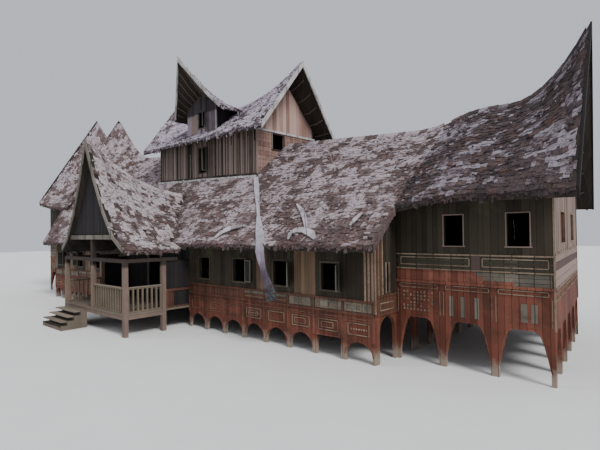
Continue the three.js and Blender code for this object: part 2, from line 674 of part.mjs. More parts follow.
function porchSteps() {
  const rise = PORCH_FLOOR_TOP / STEP_COUNT;
  const back = PORCH_FRONT - GAP;
  const front = back - STEP_COUNT * STEP_GOING;
  const [x0, x1] = [STEP_LEFT, STEP_RIGHT];
  const treads = [[back, 0]];
  for (let k = STEP_COUNT - 1; k > 0; k -= 1) {
    const edge = front + k * STEP_GOING;
    treads.push([k === STEP_COUNT - 1 ? back : edge + STEP_GOING, k * rise], [edge, k * rise]);
  }
  treads.push([front + STEP_GOING, 0]);
  const full = panelAlongY(outline(treads), x0, x1);
  const hollow = panelAlongY(outline(treads), x0 + STEP_BOARD, x1 - STEP_BOARD)
    .translate([0, STEP_BOARD, -STEP_BOARD]);
  const rear = block(x0, x1, back - STEP_BOARD, back + 2 * STEP_BOARD, -SKY, SKY);
  add('porch_steps', full.subtract(hollow.subtract(rear)), FRAME_TIMBER);
}

// Roof sheets
function roofs() {
  const shaft = block(-TOWER_HALF - GAP, TOWER_HALF + GAP, TOWER_FRONT - GAP, TOWER_BACK + GAP, 0, SKY);
  add('main_roof_front', mainFront.sheet.subtract(shaft), ROOFING);
  add('main_roof_rear', mainRear.sheet.subtract(shaft), ROOFING);
  const clear = (solid) => solid.subtract(mainFront.loose).subtract(mainRear.loose);
  add('right_wing_roof_front', clear(rightFront.sheet), ROOFING);
  add('right_wing_roof_rear', clear(rightRear.sheet), ROOFING);
  add('left_wing_roof_front', clear(leftFront.sheet), ROOFING);
  add('left_wing_roof_rear', clear(leftRear.sheet), ROOFING);
  add('tower_roof_front', towerFront.sheet, ROOFING);
  add('tower_roof_rear', towerRear.sheet, ROOFING);
}

// A pair of boards that covers the end of a roof, along the points of its top edge
function bargeBoards(name, edge, sign) {
  const row = (out, z) => edge.map((p) => new THREE.Vector3(p.x + sign * out, p.y, p.z + z));
  const rows = [row(GAP, BARGE_RISE), row(BARGE_BOARD, BARGE_RISE)];
  const lower = [row(GAP, -BARGE_DROP), row(BARGE_BOARD, -BARGE_DROP)];
  const solid = sign > 0 ? sheet(rows, lower) : sheet([...rows].reverse(), [...lower].reverse());
  add(name, solid, PALE_TRIM);
}

function vergeBoards() {
  const roofEnds = [
    ['right_wing_barge', rightGrid, WING_EAVE_Y, 1],
    ['left_wing_barge', leftGrid, WING_EAVE_Y, -1],
    ['tower_right_barge', towerGrid, TOWER_EAVE_Y, 1],
    ['tower_left_barge', towerGrid, TOWER_EAVE_Y, -1],
  ];
  for (const [name, grid, eave, sign] of roofEnds) {
    const end = (rows) => (sign > 0 ? rows[rows.length - 1] : rows[0]);
    const edge = [...end(grid(eave, RIDGE_Y)), ...end(grid(RIDGE_Y, DEPTH - eave)).slice(1)];
    bargeBoards(name, edge, sign);
  }
}

for (const [side, sign] of SIDES) {
  centreFront(side, sign);
  centreEnd(side, sign);
}
centreRear();
entranceWall();
hallFloor();
wing('right', 1, [rightFront, rightRear]);
wing('left', -1, [leftFront, leftRear]);
leftStepWalls();
spireGable();
roofs();
vergeBoards();
tower();
dormer();
porchFrame();
porchFloor();
porchSides();
porchGable();
porchSteps();

// The origin lies on the ground at the middle of the footprint
const bounds = new THREE.Box3().setFromObject(house);
const centre = bounds.getCenter(new THREE.Vector3());
house.position.set(-centre.x, -centre.y, -bounds.min.z);

export default house;
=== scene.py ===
"""Looks of the horn-roofed timber house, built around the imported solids."""
import math
import random
import bpy
import bmesh
from mathutils import Matrix, Vector, noise
from mathutils.bvhtree import BVHTree


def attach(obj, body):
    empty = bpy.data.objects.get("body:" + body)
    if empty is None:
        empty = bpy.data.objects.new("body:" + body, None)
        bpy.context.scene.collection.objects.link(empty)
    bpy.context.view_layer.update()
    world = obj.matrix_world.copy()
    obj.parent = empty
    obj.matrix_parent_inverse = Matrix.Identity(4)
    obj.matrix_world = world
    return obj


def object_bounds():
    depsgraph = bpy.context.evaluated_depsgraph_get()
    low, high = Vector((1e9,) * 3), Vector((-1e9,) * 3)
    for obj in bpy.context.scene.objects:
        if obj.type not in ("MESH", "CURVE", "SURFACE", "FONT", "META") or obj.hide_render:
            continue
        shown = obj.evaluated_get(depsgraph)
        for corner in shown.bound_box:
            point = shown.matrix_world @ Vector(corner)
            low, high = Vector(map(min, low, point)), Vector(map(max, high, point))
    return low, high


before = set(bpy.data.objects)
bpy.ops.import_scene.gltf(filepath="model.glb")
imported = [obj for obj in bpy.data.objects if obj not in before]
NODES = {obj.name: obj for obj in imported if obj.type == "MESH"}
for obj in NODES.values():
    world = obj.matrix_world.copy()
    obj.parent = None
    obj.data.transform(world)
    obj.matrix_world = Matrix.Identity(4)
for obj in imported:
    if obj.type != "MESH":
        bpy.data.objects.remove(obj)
CAD_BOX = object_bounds()
RNG = random.Random(7)

# Depths below count from the front wall of the middle part, which stands at this depth in the frame
FRONT = -3.35235
SKY, GROUND = 30.0, -1.0

# Plan of the house: half lengths along X, and depths
HALL_HALF, REAR_Y, RIDGE_Y = 13.25, 10.5, 5.25
WING_CORNER, WING_REAR_CORNER = 18.11, 17.1
WING_FRONT_Y, WING_REAR_Y = 1.36, 9.14
TOWER_HALF, TOWER_FRONT_Y, TOWER_REAR_Y = 4.42, 3.05, 7.45
PORCH_HALF, PORCH_ROOF_HALF, DORMER_ROOF_HALF = 3.05, 3.25, 2.17

# Bays of the skirts; an arch has its spring and its crown, the wings' also their half shape
BAYS, REAR_BAYS, ARCH_PITCH = 8, 22, 1.275
BROKEN_BAY = (1, 6)
LOW_ARCH = (0.21, 0.66)
FLARED = [(1, 0), (0.9, 0.3), (0.72, 0.75), (0.6, 0.93), (0.4, 1), (0, 1)]
WING_ARCH = (0.35, 1.45, FLARED)

# Heights that come back: the rail over the skirts, the edge of the porch floor, the top of its railing
RAIL_FOOT, RAIL_TOP = 1.55, 1.63
PORCH_EDGE = (0.89, 0.975)
RAILING_TOP = (2.03, 2.075)

# How far a board's back lies inside its wall, and how far lying boards stand out
SUNK, RELIEF = 0.01, (0.012, 0.03)

# Least and greatest widths of the covering's pieces and of the shreds at its eaves, and thicknesses
PIECE_WIDTH, SHRED_WIDTH, PIECE_THICK = (0.05, 0.24), (0.03, 0.13), (0.012, 0.045)
UP = Vector((0, 0, 1))


def place(name, data):
    """Puts an object with this data into the scene."""
    item = bpy.data.objects.new(name, data)
    bpy.context.scene.collection.objects.link(item)
    return item


def set_camera():
    """The camera stands where the photograph was taken, right of the house and above the ground."""
    spot = Vector((21.399, -12.491 + FRONT, 4.286))
    yaw, pitch, roll = 42.191, 0.969, 0.715
    turns = ((yaw, "Z"), (90 + pitch, "X"), (-roll, "Z"))
    data = bpy.data.cameras.new("camera")
    film, focal_pixels, image_width = 36, 459.8, 600
    data.lens = film * focal_pixels / image_width
    data.sensor_width = film
    data.clip_end = 500
    camera = place("camera", data)
    camera.matrix_world = Matrix.Translation(spot)
    for angle, axis in turns:
        camera.matrix_world @= Matrix.Rotation(math.radians(angle), 4, axis)
    bpy.context.scene.camera = camera


def set_light():
    """A bluish sky, a soft sun from the right and a weak one from the front left."""
    world = bpy.data.worlds.new("world")
    world.use_nodes = True
    sky = world.node_tree.nodes["Background"].inputs
    sky["Color"].default_value = (0.86, 0.9, 1.0, 1)
    sky["Strength"].default_value = 0.72
    bpy.context.scene.world = world
    for name, energy, turn in (("key", 3.0, (46, 0, 72)), ("fill", 0.35, (55, 0, -50))):
        data = bpy.data.lights.new(name, "SUN")
        data.energy = energy
        data.angle = 0.35
        place(name, data).rotation_euler = [math.radians(a) for a in turn]


class Value:
    """A number made by a material's nodes; sums and products of it are nodes too."""

    def __init__(self, shade, socket):
        self.shade, self.socket = shade, socket

    def __add__(self, other):
        return self.shade.math("ADD", self, other)

    def __mul__(self, other):
        return self.shade.math("MULTIPLY", self, other)


class Shade:
    """A material in the making: its nodes are made and linked by value."""

    def __init__(self, name, metallic=0.0):
        self.material = bpy.data.materials.new(name)
        self.material.use_nodes = True
        self.tree = self.material.node_tree
        self.shader = self.tree.nodes["Principled BSDF"]
        self.shader.inputs["Metallic"].default_value = metallic
        self.shader.inputs["Specular IOR Level"].default_value = 0.22
        self.place = self.node("ShaderNodeTexCoord").outputs["Object"]
        parts = self.node("ShaderNodeSeparateXYZ", [(0, self.place)]).outputs
        x, y, self.height = (Value(self, part) for part in parts)
        self.level = x + y
        self.tone = Value(self, self.node("ShaderNodeAttribute", attribute_name="tone").outputs["Fac"])

    def node(self, kind, values=(), **settings):
        made = self.tree.nodes.new(kind)
        for key, value in settings.items():
            setattr(made, key, value)
        for key, value in values:
            self.feed(made.inputs[key], value)
        return made

    def feed(self, socket, value):
        """Links a value made by nodes, or sets a plain number, or a colour given in thousandths."""
        value = getattr(value, "socket", value)
        if isinstance(value, bpy.types.NodeSocket):
            self.tree.links.new(value, socket)
        elif isinstance(value, tuple) and socket.type == "RGBA":
            socket.default_value = (*(part / 1000 for part in value), 1)
        else:
            socket.default_value = value

    def value(self, kind, values, **settings):
        return Value(self, self.node(kind, values, **settings).outputs[0])

    def math(self, kind, a, b=0.0):
        return self.value("ShaderNodeMath", [(0, a), (1, b)], operation=kind)

    def noise(self, scale, vector=None, detail=5.0, rough=0.6):
        where = self.place if vector is None else vector
        values = [("Vector", where), ("Scale", scale), ("Detail", detail), ("Roughness", rough)]
        return self.value("ShaderNodeTexNoise", values)

    def span(self, value, low, high):
        return self.value("ShaderNodeMapRange", [(0, value), (1, low), (2, high)])

    def mix(self, share, a, b):
        return self.node("ShaderNodeMix", [(0, share), (6, a), (7, b)], data_type="RGBA").outputs[2]

    def finish(self, colour, rough, bump, depth):
        self.feed(self.shader.inputs["Base Color"], colour)
        self.feed(self.shader.inputs["Roughness"], rough)
        relief = self.node("ShaderNodeBump", [("Height", bump), ("Distance", depth), ("Strength", 0.8)])
        self.feed(self.shader.inputs["Normal"], relief.outputs[0])
        return self.material


def darker(colour, share):
    return tuple(share * part for part in colour)


def boards(shade, width, lying=False):
    """Board by board: the groove between boards, a value for each board, and the grain."""
    across, along = (shade.height, shade.level) if lying else (shade.level, shade.height)
    count = shade.math("DIVIDE", across, width)
    number = shade.math("FLOOR", count)
    part = shade.math("FRACT", count)
    edge = shade.math("MINIMUM", part, shade.math("SUBTRACT", 1.0, part))
    own = shade.value("ShaderNodeTexWhiteNoise", [("W", number)], noise_dimensions="1D")
    stretched = [(0, across * 34.0), (1, along * 1.3), (2, number)]
    grain = shade.noise(1.0, shade.value("ShaderNodeCombineXYZ", stretched), 6.0, 0.65)
    return shade.span(edge, 0.0, 0.05), own, grain


def timber(name, dark, light, width=None, lying=False, moss=0.0, vary=0.42, painted_shade_above=None):
    """Bare weathered boards; vary is how much one board differs from the next."""
    shade = Shade(name)
    groove, own, grain = boards(shade, width or 0.37, lying)
    share = grain * 0.7 + shade.noise(1.1, detail=6.0) * 0.6
    share += (shade.tone + (own if width else 0.5)) * vary
    colour = shade.mix(shade.span(share, 0.03 + vary, 1.03 + vary), dark, light)
    if moss:
        green = shade.span(shade.noise(0.8, detail=4.0), 0.62 - moss, 0.75)
        colour = shade.mix(green * 0.6, colour, (75, 80, 40))
    # Above the given height the boards turn near black: painted shade, standing in for the shade under a roof
    # that overhangs them.
    if painted_shade_above:
        painted_shade = shade.span(shade.height, painted_shade_above, painted_shade_above + 0.12)
        colour = shade.mix(painted_shade * 0.85, colour, (12, 10, 9))
    if width:
        colour = shade.mix(groove, darker(dark, 0.3), colour)
    relief = grain * 0.5 + (groove if width else 0.5)
    return shade.finish(colour, shade.span(grain, -1.6, 1.0), relief, 0.012)


def painted(name, dark, light, bare, width=0.2, wear=0.0, feet=False, stain=None):
    """Faded paint on boards, worn off in streaks; pale at its feet and sooty above a height, if asked."""
    shade = Shade(name)
    groove, own, grain = boards(shade, width)
    fade = own * 0.5 + shade.noise(0.9, detail=6.0) + shade.tone * 0.4
    colour = shade.mix(shade.span(fade, 0.45, 1.3), dark, light)
    chips = grain * 0.6 + shade.noise(7.0) * 0.5
    colour = shade.mix(shade.span(chips, 0.66 - wear, 0.76 - wear) * 0.75, colour, bare)
    grime = shade.span(shade.noise(1.7, detail=8.0, rough=0.7), 0.5, 0.66)
    colour = shade.mix(grime * 0.55, colour, (35, 24, 16))
    if stain:
        soot = shade.span(shade.height + shade.noise(1.3, detail=6.0) * 0.9, stain + 0.3, stain + 0.75)
        colour = shade.mix(soot * 0.6, colour, (40, 27, 18))
    if feet:
        foot = shade.span(shade.height + shade.noise(5.0) * 0.5, 0.42, 0.82)
        colour = shade.mix(foot, (255, 200, 155), colour)
    colour = shade.mix(groove, darker(dark, 0.35), colour)
    return shade.finish(colour, shade.span(chips, -0.6, 0.9), groove + grain * 0.35, 0.012)


def roofing(name, dark, middle, light, start=0.65):
    """Old layered roof covering: brown shreds, bleached in ragged patches, more of them higher up."""
    shade = Shade(name)
    fine = shade.noise(10.0, detail=8.0, rough=0.8)
    grit = shade.noise(36.0, detail=4.0, rough=0.7)
    stretch = [(0, shade.place), (1, (2.6, 2.6, 7.0))]
    shreds = shade.value("ShaderNodeVectorMath", stretch, operation="MULTIPLY")
    torn = shade.noise(1.4, shreds, 8.0, 0.75)
    base = shade.tone * 0.35 + fine * 0.7 + grit * 0.55
    colour = shade.mix(shade.span(base, 0.5, 1.1), dark, middle)
    rust = shade.span(shade.noise(2.1, detail=8.0, rough=0.75), 0.5, 0.62)
    colour = shade.mix(rust * 0.5, colour, (170, 90, 72))
    patch = shade.tone * 0.4 + torn * 0.6 + shade.math("MINIMUM", shade.height, 8.5) * 0.023
    bleached = shade.span(patch, start - 0.03, start + 0.1) * shade.span(grit, 0.2, 0.55)
    colour = shade.mix(bleached * 0.85, colour, light)
    # Dark specks where the fine noise is low: painted shadows under the loose flakes of the covering.
    painted_flake_shadows = shade.span(fine, 0.49, 0.39)
    colour = shade.mix(painted_flake_shadows * 0.85, colour, dark)
    return shade.finish(colour, 0.95, fine + torn, 0.05)


def zinc(name):
    """Sheet metal: pale and blotched above the eave, dark below it."""
    shade = Shade(name, 0.15)
    rust = shade.span(shade.noise(3.0, detail=7.0), 0.5, 0.62)
    streak = shade.noise(20.0, detail=3.0)
    low = shade.mix(shade.span(shade.height, 2.1, 3.2), (22, 21, 24), (100, 75, 110))
    colour = shade.mix(shade.span(shade.height, 3.0, 4.5), low, (400, 390, 430))
    colour = shade.mix(rust * 0.35, colour, (160, 120, 140))
    return shade.finish(colour, shade.span(streak, -0.4, 1.3), streak, 0.004)


def floor_paint(name):
    shade = Shade(name)
    colour = shade.mix(shade.noise(0.6, detail=3.0), (700, 700, 680), (760, 760, 740))
    return shade.finish(colour, 0.95, shade.noise(40.0), 0.002)


# Colours are in thousandths. With a width, a material draws its own boards of that width
GREY = timber("grey_boards", (9, 7, 5), (50, 40, 26), 0.17, moss=0.06)
GREY_BARE = timber("grey_timber", (7, 5.5, 4), (45, 35, 23), moss=0.06, vary=0.6)
BROWN_BARE = timber("brown_timber", (45, 26, 16), (180, 115, 72), vary=0.6)
WINDOW_FRAME = timber("window_timber", (16, 13, 9), (75, 62, 42))
SHUTTER = timber("shutter_timber", (40, 42, 33), (140, 145, 112))
TOWER_GREY = timber("tower_boards", (30, 24, 22), (170, 140, 120), 0.26)
TOWER_GREY_BARE = timber("tower_timber", (20, 13.5, 12), (220, 165, 140), vary=1.3)
TAN = timber("tan_boards", (160, 80, 64), (450, 310, 260), vary=0.9)
TAN_LYING = timber("tan_lying_boards", (130, 55, 40), (360, 240, 180), 0.2, lying=True)
TAN_SIDE = painted("tan_side_timber", (150, 78, 62), (340, 225, 185), (100, 52, 43), wear=0.05)
END_BOARDS = timber("end_timber", (75, 47, 40), (250, 180, 150), vary=0.8)
DARK = timber("dark_boards", (7, 6, 6), (35, 29, 26), 0.16)
DARK_BARE = timber("dark_timber", (5, 4, 5), (24, 20, 21), vary=0.6)
# The dormer's boards turn near black above 11 m: painted shade under the dormer's roof.
DORMER_BARE = timber("dormer_timber", (50, 40, 46), (310, 255, 285), vary=1.0, painted_shade_above=11.0)
FLOOR = timber("floor_boards", (60, 45, 35), (200, 155, 120), 0.18)
FRAME = timber("frame_timber", (48, 37, 28), (240, 195, 150), moss=0.03)
# The porch frame's top plates, above 2.84 m, are painted near black: painted shade under the porch roof.
PORCH_FRAME = timber("porch_timber", (60, 42, 33), (310, 220, 175), painted_shade_above=2.84)
RAIL = timber("rail_timber", (58, 45, 32), (260, 205, 150))
RED = painted("red_boards", (78, 24, 15), (225, 75, 48), (150, 100, 70), feet=True)
REDS = ((82, 26, 17), (235, 83, 55), (160, 110, 80))
RED_STAINED = painted("stained_red_timber", *REDS, wear=0.03, stain=1.3)
DULL_RED = painted("dull_red_timber", (40, 18, 12), (120, 50, 36), (80, 55, 40), 0.2, 0.04)
RED_BARE = painted("red_timber", *REDS, wear=0.03)
GREEN = painted("green_panels", (22, 20, 15), (75, 66, 48), (60, 46, 34), 0.4, 0.04)
CREAM = painted("cream_trim", (120, 85, 58), (260, 200, 140), (100, 50, 34), 0.6, 0.08)
OLD_PALE = painted("grey_trim", (75, 66, 55), (210, 185, 158), (70, 58, 48), 0.9, 0.05)
WORN = painted("worn_trim", (90, 52, 36), (190, 120, 85), (70, 28, 19), 0.6, 0.08)
PANEL = painted("grey_green_panels", (50, 44, 34), (190, 165, 130), (80, 55, 38), 0.4, 0.05)
PALE = painted("pale_boards", (310, 290, 280), (560, 540, 530), (140, 120, 110), 0.9, 0.02)
ROOF = roofing("main_roofing", (35, 24, 24), (270, 193, 187), (480, 415, 445))
PORCH_ROOF = roofing("porch_roofing", (35, 24, 23), (260, 187, 180), (560, 495, 520), 0.53)
TOWER_ROOF = roofing("tower_roofing", (40, 28, 33), (290, 222, 250), (560, 500, 590), 0.565)
WING_ROOF = roofing("wing_roofing", (16, 12, 13), (130, 95, 98), (350, 312, 355), 0.735)
BATTEN = timber("batten_timber", (35, 27, 23), (150, 115, 95))
UNDER = timber("roof_underside", (14, 11, 9), (50, 39, 31), 0.25)
ZINC = zinc("zinc")
SCRAP = painted("bleached_scraps", (240, 215, 225), (470, 430, 455), (130, 100, 90), 0.7, 0.03)


TREES = {}


def tree_of(node):
    """The node's triangles, for casting rays on it."""
    if node not in TREES:
        item = NODES[node]
        points = [item.matrix_world @ v.co for v in item.data.vertices]
        TREES[node] = BVHTree.FromPolygons(points, [tuple(p.vertices) for p in item.data.polygons])
    return TREES[node]


def cast(node, x, y, up=False):
    """Where a vertical ray meets the node, from above or from below; x and y are building coordinates."""
    start = Vector((x, y + FRONT, GROUND if up else SKY))
    return tree_of(node).ray_cast(start, UP if up else -UP)


def height_at(node, x, y, up=False):
    hit = cast(node, x, y, up)
    return hit[0].z if hit[0] else None


class Build:
    """Gathers solids, each with its tone, and makes one piece of them."""

    def __init__(self):
        self.points, self.faces, self.tones = [], [], []

    def prism(self, near, far, tone=0.5):
        """A solid between two outlines with as many corners each, kept inside the box of the solids."""
        start, count = len(self.points), len(near)
        sides = [(k, (k + 1) % count, count + (k + 1) % count, count + k) for k in range(count)]
        ends = [range(count), range(2 * count - 1, count - 1, -1)]
        self.points += [[min(max(c, a), b) for c, a, b in zip(p, *CAD_BOX)] for p in (*near, *far)]
        self.faces += [[start + k for k in face] for face in sides + ends]
        self.tones += [tone] * (count + 2)

    def piece(self, name, material, slot):
        mesh = bpy.data.meshes.new(name)
        mesh.from_pydata(self.points, [], self.faces)
        work = bmesh.new()
        work.from_mesh(mesh)
        bmesh.ops.recalc_face_normals(work, faces=work.faces)
        work.to_mesh(mesh)
        work.free()
        mesh.attributes.new("tone", "FLOAT", "FACE").data.foreach_set("value", self.tones)
        mesh.materials.append(material)
        item = place(name, mesh)
        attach(item, "root")


def builds(count):
    return [Build() for _ in range(count)]


class Plane:
    """A wall face: a runs along it, z up and out away from it, in building coordinates."""

    def __init__(self, x, y, dx, dy, nx, ny):
        length = math.hypot(dx, dy)
        self.start = Vector((x, y, 0))
        self.along = Vector((dx, dy, 0)) / length
        self.out = Vector((nx, ny, 0)).normalized()

    def at(self, a, z, out=0.0):
        point = self.start + self.along * a + self.out * out
        return Vector((point.x, point.y + FRONT, z))

    def plate(self, build, a0, a1, z0, z1, back, front, tone=0.5, end=None):
        """A plate on the wall; end is the height of its top at a1 where that differs."""
        corners = [(a0, z0), (a1, z0), (a1, z1 if end is None else end), (a0, z1)]
        self.block(build, corners, back, front, tone)

    def block(self, build, corners, back, front, tone):
        """A solid between two depths; its corners are points of a and z."""
        build.prism(*[[self.at(a, z, out) for a, z in corners] for out in (back, front)], tone)

    def board(self, build, a0, a1, z0, z1, out, tone=None, end=None):
        """A plate that starts just inside the wall; where no tone is given, it is drawn by chance."""
        self.plate(build, a0, a1, z0, z1, -SUNK, out, RNG.random() if tone is None else tone, end)

    def line(self, build, points, width, out):
        """A flat strip of one width along points of a and z."""
        for (a0, z0), (a1, z1) in zip(points, points[1:]):
            side = Vector((z0 - z1, a1 - a0)).normalized() * width / 2
            corners = [(a0 + side.x, z0 + side.y), (a1 + side.x, z1 + side.y),
                       (a1 - side.x, z1 - side.y), (a0 - side.x, z0 - side.y)]
            self.block(build, corners, -SUNK, out, RNG.random())

    def level(self, build, a0, a1, z, width, out):
        self.line(build, [(a0, z), (a1, z)], width, out)

    def upright(self, build, a, z0, z1, width, out):
        self.line(build, [(a, z0), (a, z1)], width, out)

    def box(self, build, a0, a1, z0, z1, width, out):
        """A rectangle drawn with four strips."""
        for z in (z0, z1):
            self.level(build, a0, a1, z, width, out)
        for a in (a0, a1):
            self.upright(build, a, z0, z1, width, out)


# How a wing's end wall runs in plan, from its front corner to its rear one
SKEW = (WING_CORNER - WING_REAR_CORNER, WING_REAR_Y - WING_FRONT_Y)


def facing(depth, way):
    """A wall across the house at a depth; way is -1 where it looks to the front and 1 to the back."""
    return Plane(0, depth, 1, 0, 0, way)


FRONT_FACE, REAR_FACE = facing(0, -1), facing(REAR_Y, 1)
WING_FACE, WING_REAR_FACE = facing(WING_FRONT_Y, -1), facing(WING_REAR_Y, 1)
TOWER_FACE, TOWER_REAR_FACE = facing(TOWER_FRONT_Y, -1), facing(TOWER_REAR_Y, 1)
DORMER_FACE, GABLE_FACE = facing(3.0, -1), facing(-3.17, -1)
SIGNS = (1, -1)
SIDES = (("right", 1), ("left", -1))


def side_face(sign, x):
    return Plane(sign * x, 0, 0, 1, sign, 0)


def wing_end_face(sign):
    """The end wall of a wing, which is skewed in plan."""
    return Plane(sign * WING_CORNER, WING_FRONT_Y, -sign * SKEW[0], SKEW[1], sign * SKEW[1], SKEW[0])


def top_of(node, plane, a, inside=0.05):
    """The height of the node's top at a, just behind the plane."""
    point = plane.at(a, 0, -inside)
    return height_at(node, point.x, point.y - FRONT)


def edges(start, stop, width, fixed):
    """Board edges from start to stop, with those at openings kept."""
    found = [start]
    for mark in sorted([*(f for f in fixed if start < f < stop), stop]):
        count = max(1, round((mark - found[-1]) / width))
        step = (mark - found[-1]) / count
        base = found[-1]
        for k in range(1, count):
            found.append(base + step * (k + RNG.uniform(-0.16, 0.16)))
        found.append(mark)
    return found


def clad(build, plane, node, start, stop, low, holes=(), width=0.2, depth=0.022, high=None):
    """Upright boards on a wall, cut round its openings and under its roof, none of them over high."""
    gap, inset, shortest = 0.004, 0.006, 0.03
    marks = edges(start, stop, width, [e for hole in holes for e in hole[:2]])
    for a0, a1 in zip(marks, marks[1:]):
        tops = [top_of(node, plane, a) for a in (a0 + inset, a1 - inset)]
        if None in tops:
            continue
        tops = [min(t, high) if high else t for t in tops]
        middle = (a0 + a1) / 2
        out = depth * RNG.uniform(0.5, 1.0)
        tone = RNG.random()
        foot = low
        for z0, z1 in sorted(h[2:] for h in holes if h[0] < middle < h[1]):
            if z0 > foot:
                plane.board(build, a0 + gap, a1 - gap, foot, z0, out, tone)
            foot = max(foot, z1)
        if min(tops) > foot + shortest:
            plane.board(build, a0 + gap, a1 - gap, foot, tops[0], out, tone, tops[1])


def roof_top(node, axis):
    """A function that gives a point of the roof's top and the way out of it; axis 0 has courses along X."""
    def top(along, across):
        x, y = (across, along) if axis else (along, across)
        point, normal = cast(node, x, y)[:2]
        return None if point is None else (point, normal if normal.z > 0 else -normal)
    return top


def runs(top, across, start, stop):
    """The stretches of a course where the roof is there."""
    def limit(inside, outside):
        for _ in range(6):
            middle = (inside + outside) / 2
            inside, outside = (middle, outside) if top(middle, across) else (inside, middle)
        return inside

    step = 0.12
    count = int((stop - start) / step)
    marks = [start + (stop - start) * k / count for k in range(count + 1)]
    found, first = [], None
    for k, mark in enumerate(marks):
        there = top(mark, across)
        if there and first is None:
            first = limit(mark, marks[k - 1]) if k else mark
        elif not there and first is not None:
            found.append((first, limit(marks[k - 1], mark)))
            first = None
    return found + [(first, stop)] if first is not None else found


def shingle(build, top, a, b, low, high, ragged):
    """One piece of the covering: a wedge with its thick end down the slope."""
    corners = [top(along, across) for along in (a, b) for across in (low, high)]
    if None in corners:
        return
    thick = RNG.uniform(*PIECE_THICK)
    drop = RNG.random() ** 2 * ragged
    outlines = []
    for (foot, normal), (head, _) in (corners[:2], corners[2:]):
        down = (foot - head).normalized() * (drop + RNG.uniform(0, 0.2) * ragged)
        outlines.append([head + normal * 0.006, foot + down + normal * thick, foot + down - normal * 0.02])
    spot = corners[0][0]
    banded = Vector((spot.x * 1.5, spot.y * 2.4, spot.z * 3.6))
    cluster = 0.65 * noise.noise(spot * 0.7) + 1.05 * noise.noise(banded)
    build.prism(*outlines, min(1.0, max(0.0, 0.5 + 0.9 * cluster + RNG.uniform(-0.22, 0.22))))


def course(build, top, low, high, start, stop, ragged, loose):
    """One course, with a few pieces missing; loose is how far they slip, as a share of its width."""
    slip, least, missing = (high - low) * loose, 0.03, 0.02
    for first, last in runs(top, low, start, stop):
        a = first
        while a < last - least:
            b = min(last, a + RNG.uniform(*PIECE_WIDTH))
            if RNG.random() > missing:
                foot = low - slip * RNG.uniform(-0.5, 1)
                shingle(build, top, a, b, foot, high + slip * RNG.random(), ragged)
            a = b


def flakes(build, top, eave, ridge, start, stop):
    """Loose shreds that lie on the covering at all angles, fourteen on a square metre of its plan."""
    for _ in range(int(14 * (stop - start) * abs(ridge - eave))):
        along = RNG.uniform(start, stop)
        hit = top(along, eave + (ridge - eave) * RNG.uniform(0.01, 0.98))
        if hit is None:
            continue
        spot, normal = hit
        turn = RNG.gauss(0, 0.6)
        level = normal.cross(UP).normalized()
        down = level.cross(normal)
        long = (level * math.cos(turn) + down * math.sin(turn)) * RNG.uniform(0.03, 0.13)
        wide = (down * math.cos(turn) - level * math.sin(turn)) * RNG.uniform(0.01, 0.035)
        base = spot + normal * RNG.uniform(0.02, 0.05)
        tilt = normal * RNG.uniform(0.0, 0.04)
        upper = [base + long + tilt, base - long + tilt,
                 base - long * 0.7 - wide * 2, base + long * 0.8 - wide * 2]
        build.prism(upper, [c - normal * 0.02 for c in upper], RNG.choice((0.0, 0.3, 0.7, 1.0)))


def slope(name, node, axis, eave, ridge, start, stop, spacing, material):
    """All the courses of one slope, from its eave up to its ridge, and the fringe along the eave."""
    build, top = Build(), roof_top(node, axis)
    sign = 1 if ridge > eave else -1
    edge = low = eave + sign * 0.01
    sample, last_width, least_rise, steep = start + 0.37 * (stop - start), 0.02, 0.15, 1.0
    while (ridge - low) * sign > last_width:
        hit = top(sample, low)
        steep = max(least_rise, hit[1].z) if hit else steep
        high = low + sign * spacing * steep * RNG.uniform(0.85, 1.15)
        high = min(high, ridge) if sign > 0 else max(high, ridge)
        ragged, loose = (0.1, 0.0) if abs(low - eave) < 0.05 else (0.06, 0.4)
        course(build, top, low, high, start, stop, ragged, loose)
        low = high
    flakes(build, top, eave, ridge, start, stop)
    fringe(build, top, edge, start, stop, Vector((-sign, 0, 0)) if axis else Vector((0, -sign, 0)))
    build.piece(name, material, "roofing")


def fringe(build, roof, edge, start, stop, out):
    """Ragged ends of the covering that hang over the edge of the eave."""
    for first, last in runs(roof, edge, start, stop):
        a = first
        while a < last - 0.04:
            b = min(last, a + RNG.uniform(*SHRED_WIDTH))
            ends = [roof(along, edge) for along in (a, b)]
            if None not in ends:
                hang = RNG.uniform(0.1, 0.19) + 0.16 * RNG.random() ** 4
                reach = RNG.uniform(0.005, 0.03)
                tips = [hang * RNG.uniform(0.8, 1.2) for _ in ends]
                outlines = []
                for (point, _), tip in zip(ends, tips):
                    top = point + UP * 0.01
                    tail = top - UP * tip
                    outlines.append([top - out * 0.03, top + out * reach,
                                     tail + out * (reach + 0.015), tail - out * 0.01])
                build.prism(*outlines, 0.3 * RNG.random())
            a = b


def verge(build, roof, x_at, y0, y1, out, drop=0.3):
    """Ragged ends of the covering over the edge of a roof sheet at a gable."""
    width, side = 0.14, Vector((out, 0, 0))
    count = int(abs(y1 - y0) / width)
    for k in range(count):
        depths = [y0 + (y1 - y0) * j / count for j in (k, k + 1)]
        ends = [roof(x_at(y), y) for y in depths]
        if None in ends:
            continue
        outlines = []
        for point, _ in ends:
            top = point + UP * 0.03
            low = top - UP * (drop * RNG.uniform(0.85, 1.25))
            outlines.append([top - side * 0.1, top + side * 0.03, low + side * 0.035, low + side * 0.005])
        build.prism(*outlines, 0.4 * RNG.random())


